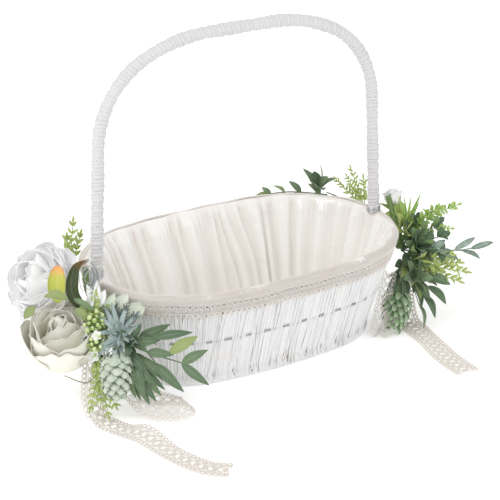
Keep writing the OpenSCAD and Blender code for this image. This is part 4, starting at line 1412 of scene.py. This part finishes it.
def right_rosemary(rng):
    shape = Shape()
    for tip, pairs in (((41, -21, 31), 10), ((32, -24, 13), 7), ((30, -12, 28), 8), ((24, -6, 22), 6)):
        bend = 0.55 * np.array(tip) + [2, 2, 4]
        sprig(shape, spots(right, (5, -3, 1), bend, tip), pairs, 6.5 * MM, 3.4 * MM, OUT_RIGHT, rng,
              spread=55, tilt=0.6, start=0.35, radius=0.6 * MM, rows=8, cols=7, full=0.55, sharp=0.6)
    shape.build("rosemary_leaves", "grass", "right_rosemary")


def right_boxwood(rng):
    shape = Shape()
    for tip in ((23, -23, 8), (24, -15, 16), (12, -2, 16), (20, -29, -3), (10, -19, 7), (3, -23, -11)):
        sprig(shape, spots(right, (-3, -5, -5), tip), 3, 14 * MM, 8.6 * MM, OUT_RIGHT, rng, spread=50,
              tilt=0.4, start=0.3, full=0.5, sharp=0.65)
    clump(shape, right(4, -14, -2), 14, 19 * MM, 8 * MM, OUT_RIGHT, rng, tint=(0.1, 0.95))
    shape.build("boxwood_leaves", "dark", "right_boxwood")


def right_dusty_twig(rng):
    shape = Shape()
    stem(shape, spots(right, (2, -13, -3), (28, -36, -1), (40, -46, 2)), 0.8 * MM)
    stem(shape, spots(right, (28, -36, -1), (36, -40, -2)), 0.6 * MM)
    for root, tip, width in (((38, -44, 1), (52, -56, 8), 5), ((28, -36, 0), (44, -42, 9), 5),
                             ((34, -39, -2), (42, -52, -6), 5.5), ((12, -22, -2), (26, -26, 5), 6),
                             ((16, -26, -2), (30, -40, -9), 6), ((6, -16, -3), (18, -18, 3), 6)):
        leaf(shape, right(*root), right(*tip), OUT_RIGHT, width * MM, cup=0.35, tint=rng.uniform(0, 0.8))
    shape.build("dusty_twig_leaves", "dusty_green", "right_dusty_twig")


def right_feathery(rng):
    shape = Shape()
    for tip in ((24, -36, -5), (30, -49, -16), (25, -47, -24), (14, -36, -17), (28, -42, -10)):
        sprig(shape, spots(right, (-3, -15, -12), tip), 7, 9 * MM, 3.6 * MM, OUT_RIGHT, rng, spread=42,
              tilt=0.5, start=0.3, radius=0.6 * MM, rows=8, cols=5)
    tips = spots(
        right, (2, -31, -15), (-7, -28, -27), (9, -33, -9), (-14, -21, -21), (4, -30, 1), (-3, -34, -38)
    )
    fan(shape, right(-5, -13, -14), tips, 15 * MM, 6.5 * MM, OUT_RIGHT, rng, tint=(0.1, 0.9), cup=0.35)
    shape.build("feathery_leaves", "fern", "right_feathery")


def right_olive_middle(rng):
    shape = Shape()
    tips = spots(
        right, (18, -45, -26), (12, -48, -41), (3, -46, -52), (2, -40, -38), (10, -38, -28), (8, -30, -12)
    )
    fan(shape, right(-6, -15, -17), tips, 22 * MM, 8.6 * MM, OUT_RIGHT, rng, cup=0.3, tint=(0, 0.7))
    clump(shape, right(-4, -22, -22), 10, 19 * MM, 8 * MM, OUT_RIGHT, rng, tint=(0.4, 1))
    shape.build("olive_middle_leaves", "olive", "right_olive_middle")


def right_olive_low(rng):
    shape = Shape()
    tips = spots(
        right, (-6, -43, -60), (-19, -9, -24), (-25, -15, -35), (-21, -21, -41), (-15, -26, -43),
        (-7, -29, -34), (-16, -22, -25), (-7, -26, -20), (-15, -13, -14), (-3, -31, -25), (-4, -36, -46)
    )
    fan(shape, right(-5, -10, -14), tips, 22 * MM, 9 * MM, OUT_RIGHT, rng, cup=0.3, tint=(0.0, 0.8))
    shape.build("olive_low_leaves", "olive", "right_olive_low")


def right_fern(rng):
    shape = Shape()
    for tip in ((2, 76, 40), (-6, 70, 36), (8, 66, 34), (-14, 74, 34)):
        sprig(shape, spots(right, (1, 52, 12), tip), 8, 6.5 * MM, 2.6 * MM, OUT_RIGHT, rng, spread=46,
              tilt=0.6, start=0.25, **FINE_FROND)
    shape.build("back_fern_fronds", "fern", "right_fern")


def right_back_sprig(rng):
    shape = Shape()
    stem(shape, spots(right, (1, 56, 12), (-14, 88, 18)), 0.9 * MM)
    sprig(shape, spots(right, (-14, 87, 16), (-38, 104, 18), (-58, 114, 17)), 4, 15 * MM, 6.5 * MM,
          [0.2, -0.8, 0.5], rng, spread=40, start=0.1)
    clump(shape, right(-20, 93, 19), 7, 20 * MM, 8.5 * MM, [0, -0.2, 1], rng, spread=60, tint=(0, 0.7))
    shape.build("back_sprig_leaves", "olive", "right_back_sprig")


def right_spray():
    """The right spray's greenery, all from one stream of random numbers."""
    rng = np.random.default_rng(31)
    for build in (right_foot_leaves, right_grass, right_rosemary, right_boxwood, right_dusty_twig,
                  right_feathery, right_olive_middle, right_olive_low, right_fern, right_back_sprig):
        build(rng)


# ---------------------------------------------------------------- ribbons

RIBBON_WIDTH = 19 * MM
RIBBON_CELL = 7.2 * MM
RIBBON_THREAD = 0.29 * MM
RIBBON_STEPS = 160


def ribbon_route(route, sides):
    """A ribbon's centre line, the way its width runs at each point, and the distance along it."""
    line = curve(route, RIBBON_STEPS)
    across = unit(curve(sides, RIBBON_STEPS))
    tangent = unit(np.gradient(line, axis=0))
    across = unit(across - (across * tangent).sum(-1, keepdims=True) * tangent)
    along = np.concatenate([[0], np.cumsum(np.linalg.norm(np.diff(line, axis=0), axis=1))])
    return line, across, along


def ribbon_pattern(length, width):
    """An open ribbon with scallops and eyelets down both edges: y runs from one edge to the other."""
    ribbon = Pattern(length, RIBBON_CELL)
    pitch, x = ribbon.pitch, ribbon.beads()
    inner = width * 0.17
    for edge, way in ((inner, -1), (width - inner, 1)):
        for depth, thick, wave in ((0, 1.2, 0), (0.04, 1.0, 0), (0.10, 1.0, 0.2 * MM)):
            ribbon.straight(edge - way * depth * width, thick, wave)
        for scale in (1.0, 0.74):
            tall = way * inner * 0.95 * scale
            ribbon.arcs(1.0, ribbon.beads(2), edge, pitch * 0.26 * scale, tall, 0, 180, 9)
    low, high = inner + 0.10 * width, width - inner - 0.10 * width
    share = np.linspace(0, 1, 9)
    starts = np.arange(-1, ribbon.cells + 1) * pitch
    for side in (-1, 1):
        for shift in (0.0, 0.16):
            run = starts[:, None] + (0.5 + side * (share - 0.5)) * pitch + shift * pitch
            keep = (run.min(1) >= 0) & (run.max(1) <= length)
            ribbon.add(run[keep], low + (high - low) * share, 1.1)
    for scale in (1.0, 0.66):
        ribbon.arcs(1.0, x, width * 0.5, pitch * 0.27 * scale, (high - low) * 0.34 * scale, 0, 350, 15)
    for y in (low + 0.06 * width, high - 0.06 * width):
        ribbon.arcs(1.0, x - pitch / 2, y, pitch * 0.16, 0.05 * width, 0, 350, 11)
    return ribbon.threads


def lace_ribbon(name, node, route, sides, width=RIBBON_WIDTH, tint=0.46):
    """A lace ribbon along a route; sides point across it, from one edge to the other."""
    line, across, along = ribbon_route(route, sides)

    def place(x, y):
        centre = np.stack([np.interp(x, along, line[:, i]) for i in range(3)], -1)
        way = np.stack([np.interp(x, along, across[:, i]) for i in range(3)], -1)
        placed = centre + way * (y - width / 2)[..., None]
        placed[..., 2] = np.maximum(placed[..., 2], 0.3 * MM)
        return placed

    shape = Shape()
    thread = RIBBON_THREAD * width / RIBBON_WIDTH
    lace(shape, ribbon_pattern(along[-1], width), place, lambda y: tint, thread)
    piece = shape.build(name, "lace", node)


def lace_tails():
    """The two ribbons that come down from the hubs and trail over the ground."""
    lace_ribbon("left_lace_ribbon", "left_lace_tail", spots(
        left, (-20, 3, -5), (-26, -4, -20), (-31, -12, -38), (-29, -20, -50.8), (-22, -42, -50.8),
        (-15, -58, -48.3), (-9, -89, -50.8), (1, -118, -50.8), (14, -131, -50.8)
    ), [[0.8, -0.5, 0.1], [0.8, -0.5, 0.1], [0.75, -0.5, -0.3], [0.75, 0.6, 0], [0.75, 0.65, 0],
        [0.75, 0.6, 0.25], [0.8, 0.55, 0], [0.85, 0.45, 0], [0.85, 0.4, 0]])
    lace_ribbon("right_lace_ribbon", "right_lace_tail", spots(
        right, (-4, -10, -22), (-6, -14, -44), (-6, -20, -61), (-8, -34, -63), (-14, -62, -62),
        (-19, -90, -63), (-21, -119, -63)
    ), [[-0.9, 0.1, 0], [-0.9, 0.1, 0], [-0.98, 0.15, 0], [-0.98, 0.15, 0], [-0.98, 0.15, 0.05],
        [-0.98, 0.2, 0], [-0.98, 0.2, 0]], 22 * MM)


def lace_bows():
    """The two loops of lace tucked under the leaves."""
    lace_ribbon("left_lace_bow", "left_lace_loop", spots(
        left, (2, -20, -37), (12, -25, -41.5), (23, -33, -43), (30, -42, -43), (26, -50, -43),
        (12, -47, -43), (-1, -37, -40), (-8, -24, -32)
    ), [[-0.2, -0.2, -0.9], [0, 0, -1], [0.35, 0.2, -0.9], [0.7, -0.2, -0.75], [0.3, -0.6, -0.8],
        [-0.1, -0.6, -0.8], [-0.2, -0.5, -0.8], [0.1, -0.3, -0.9]], 14 * MM, 0.55)
    lace_ribbon("right_lace_bow", "right_lace_loop", spots(
        right, (-20, -12, -18), (-25, -16, -30), (-33, -22, -44), (-40, -27, -54), (-43, -31, -60.5),
        (-35, -32, -58), (-26, -28, -47), (-20, -22, -36)
    ), [[0.8, -0.5, 0.2], [0.85, -0.5, 0.1], [0.85, -0.5, 0], [0.85, -0.5, -0.1], [0.7, -0.7, 0],
        [0.8, -0.6, 0.1], [0.85, -0.5, 0.2], [0.8, -0.6, 0.1]], 13 * MM, 0.6)


def organza_bow():
    """Sheer ribbon tied at the handle's left foot: three loops, one inside the other, open to the front."""
    shape = Shape()
    centre = left(-16, 20, 46)
    width = 10 * MM
    right_way = np.array([0.85, -0.53, 0])
    up_way = np.array([0.2, 0.33, 0.92])
    front = np.array([-0.3, -0.9, 0.3])
    turn = np.linspace(math.radians(-110), math.radians(235), 44)[:, None]
    for reach, drift in ((3.2, 0.5), (5.6, 1.0), (8.2, 1.5)):
        wobble = 1 + 0.06 * np.sin(3 * turn + reach)
        loop = right_way * np.cos(turn) * reach * 0.82 + up_way * np.sin(turn) * reach * 1.45
        line = centre + loop * wobble * MM
        side = unit(front + right_way * 0.15 * np.sin(turn + drift))
        across = np.linspace(-0.5, 0.5, 9)[None, :, None] * width
        slab(shape, line[:, None] + side[:, None] * across, 0.3 * MM)
    piece = shape.build("organza_bow", "organza", "left_organza_ribbon")


# ---------------------------------------------------------------- scene and camera

VIEW_AZIMUTH = math.radians(-31.9)
VIEW_ELEVATION = math.radians(22.93)
VIEW_DISTANCE = 1.300
VIEW_TARGET = Vector((7.7 * MM, 0, 76.3 * MM))
VIEW_LENS = 117.5
SKY_STRENGTH = 0.80
FLOOR_GLOW = 0.30
FLOOR_REACH = 6.0


def camera():
    ahead = Vector((
        -math.sin(VIEW_AZIMUTH) * math.cos(VIEW_ELEVATION),
        math.cos(VIEW_AZIMUTH) * math.cos(VIEW_ELEVATION),
        -math.sin(VIEW_ELEVATION),
    ))
    data = bpy.data.cameras.new("camera")
    data.sensor_width = 36
    data.lens = VIEW_LENS
    data.clip_start = 0.01
    made = bpy.data.objects.new("camera", data)
    made.location = VIEW_TARGET - ahead * VIEW_DISTANCE
    made.rotation_euler = ahead.to_track_quat("-Z", "Y").to_euler()
    bpy.context.scene.collection.objects.link(made)
    bpy.context.scene.camera = made


def area_light(name, place, size, power):
    data = bpy.data.lights.new(name, "AREA")
    data.size = size
    data.energy = power
    made = bpy.data.objects.new(name, data)
    made.location = place
    made.rotation_euler = (VIEW_TARGET - Vector(place)).to_track_quat("-Z", "Y").to_euler()
    bpy.context.scene.collection.objects.link(made)


def studio():
    scene = bpy.context.scene
    scene.view_settings.view_transform = "Standard"
    world = bpy.data.worlds.new("studio")
    world.use_nodes = True
    world.node_tree.nodes["Background"].inputs["Color"].default_value = (1, 1, 1, 1)
    world.node_tree.nodes["Background"].inputs["Strength"].default_value = SKY_STRENGTH
    scene.world = world
    area_light("key", (-1.4, -0.3, 1.7), size=0.7, power=13)
    area_light("fill", (0.9, -1.9, 1.0), size=1.6, power=5)


def studio_floor():
    """The white ground under the basket."""
    mesh = bpy.data.meshes.new("floor")
    corners = [(x * FLOOR_REACH, y * FLOOR_REACH, 0) for x, y in ((-1, -1), (1, -1), (1, 1), (-1, 1))]
    mesh.from_pydata(corners, [], [(0, 1, 2, 3)])
    floor = bpy.data.objects.new("floor", mesh)
    f = Finish("floor_white", roughness=1.0, specular_ior_level=0.0)
    f.colour(f.mix(f.noise(3, 2), (0.96, 0.96, 0.96), (0.97, 0.97, 0.97)))
    f.shader.inputs["Emission Color"].default_value = (1, 1, 1, 1)
    f.shader.inputs["Emission Strength"].default_value = FLOOR_GLOW
    mesh.materials.append(f.material)
    bpy.context.scene.collection.objects.link(floor)


camera()
studio()
studio_floor()
for cad_node in ("rim_hoop_front", "rim_hoop_back", "wall_stakes", "base_hoop"):
    dress(cad_node, "wicker")
dress("base_board", "board")
dress("floor_pad", "card")
dress("handle_rod", "rod")
wall_strands()
satin_lining()
rim_lace()
handle_cord()
handle_binding("left_handle_binding", -1)
handle_binding("right_handle_binding", 1)
stem_bundle("left_stem_bundle", spots(left, (0, 0, 0), (-10, 31, 26), (-8.5, 40, 45)), 1)
stem_bundle("right_stem_bundle", spots(right, (0, 0, 0), (3, 14, 16), (2, 22, 33)), 2)
peony()
rose()
berries()
hop_cone()
cone_tuft()
bud()
calyx_leaf()
curled_leaf()
rose_leaves()
pale_leaves()
left_spray()
right_spray()
lace_tails()
lace_bows()
organza_bow()
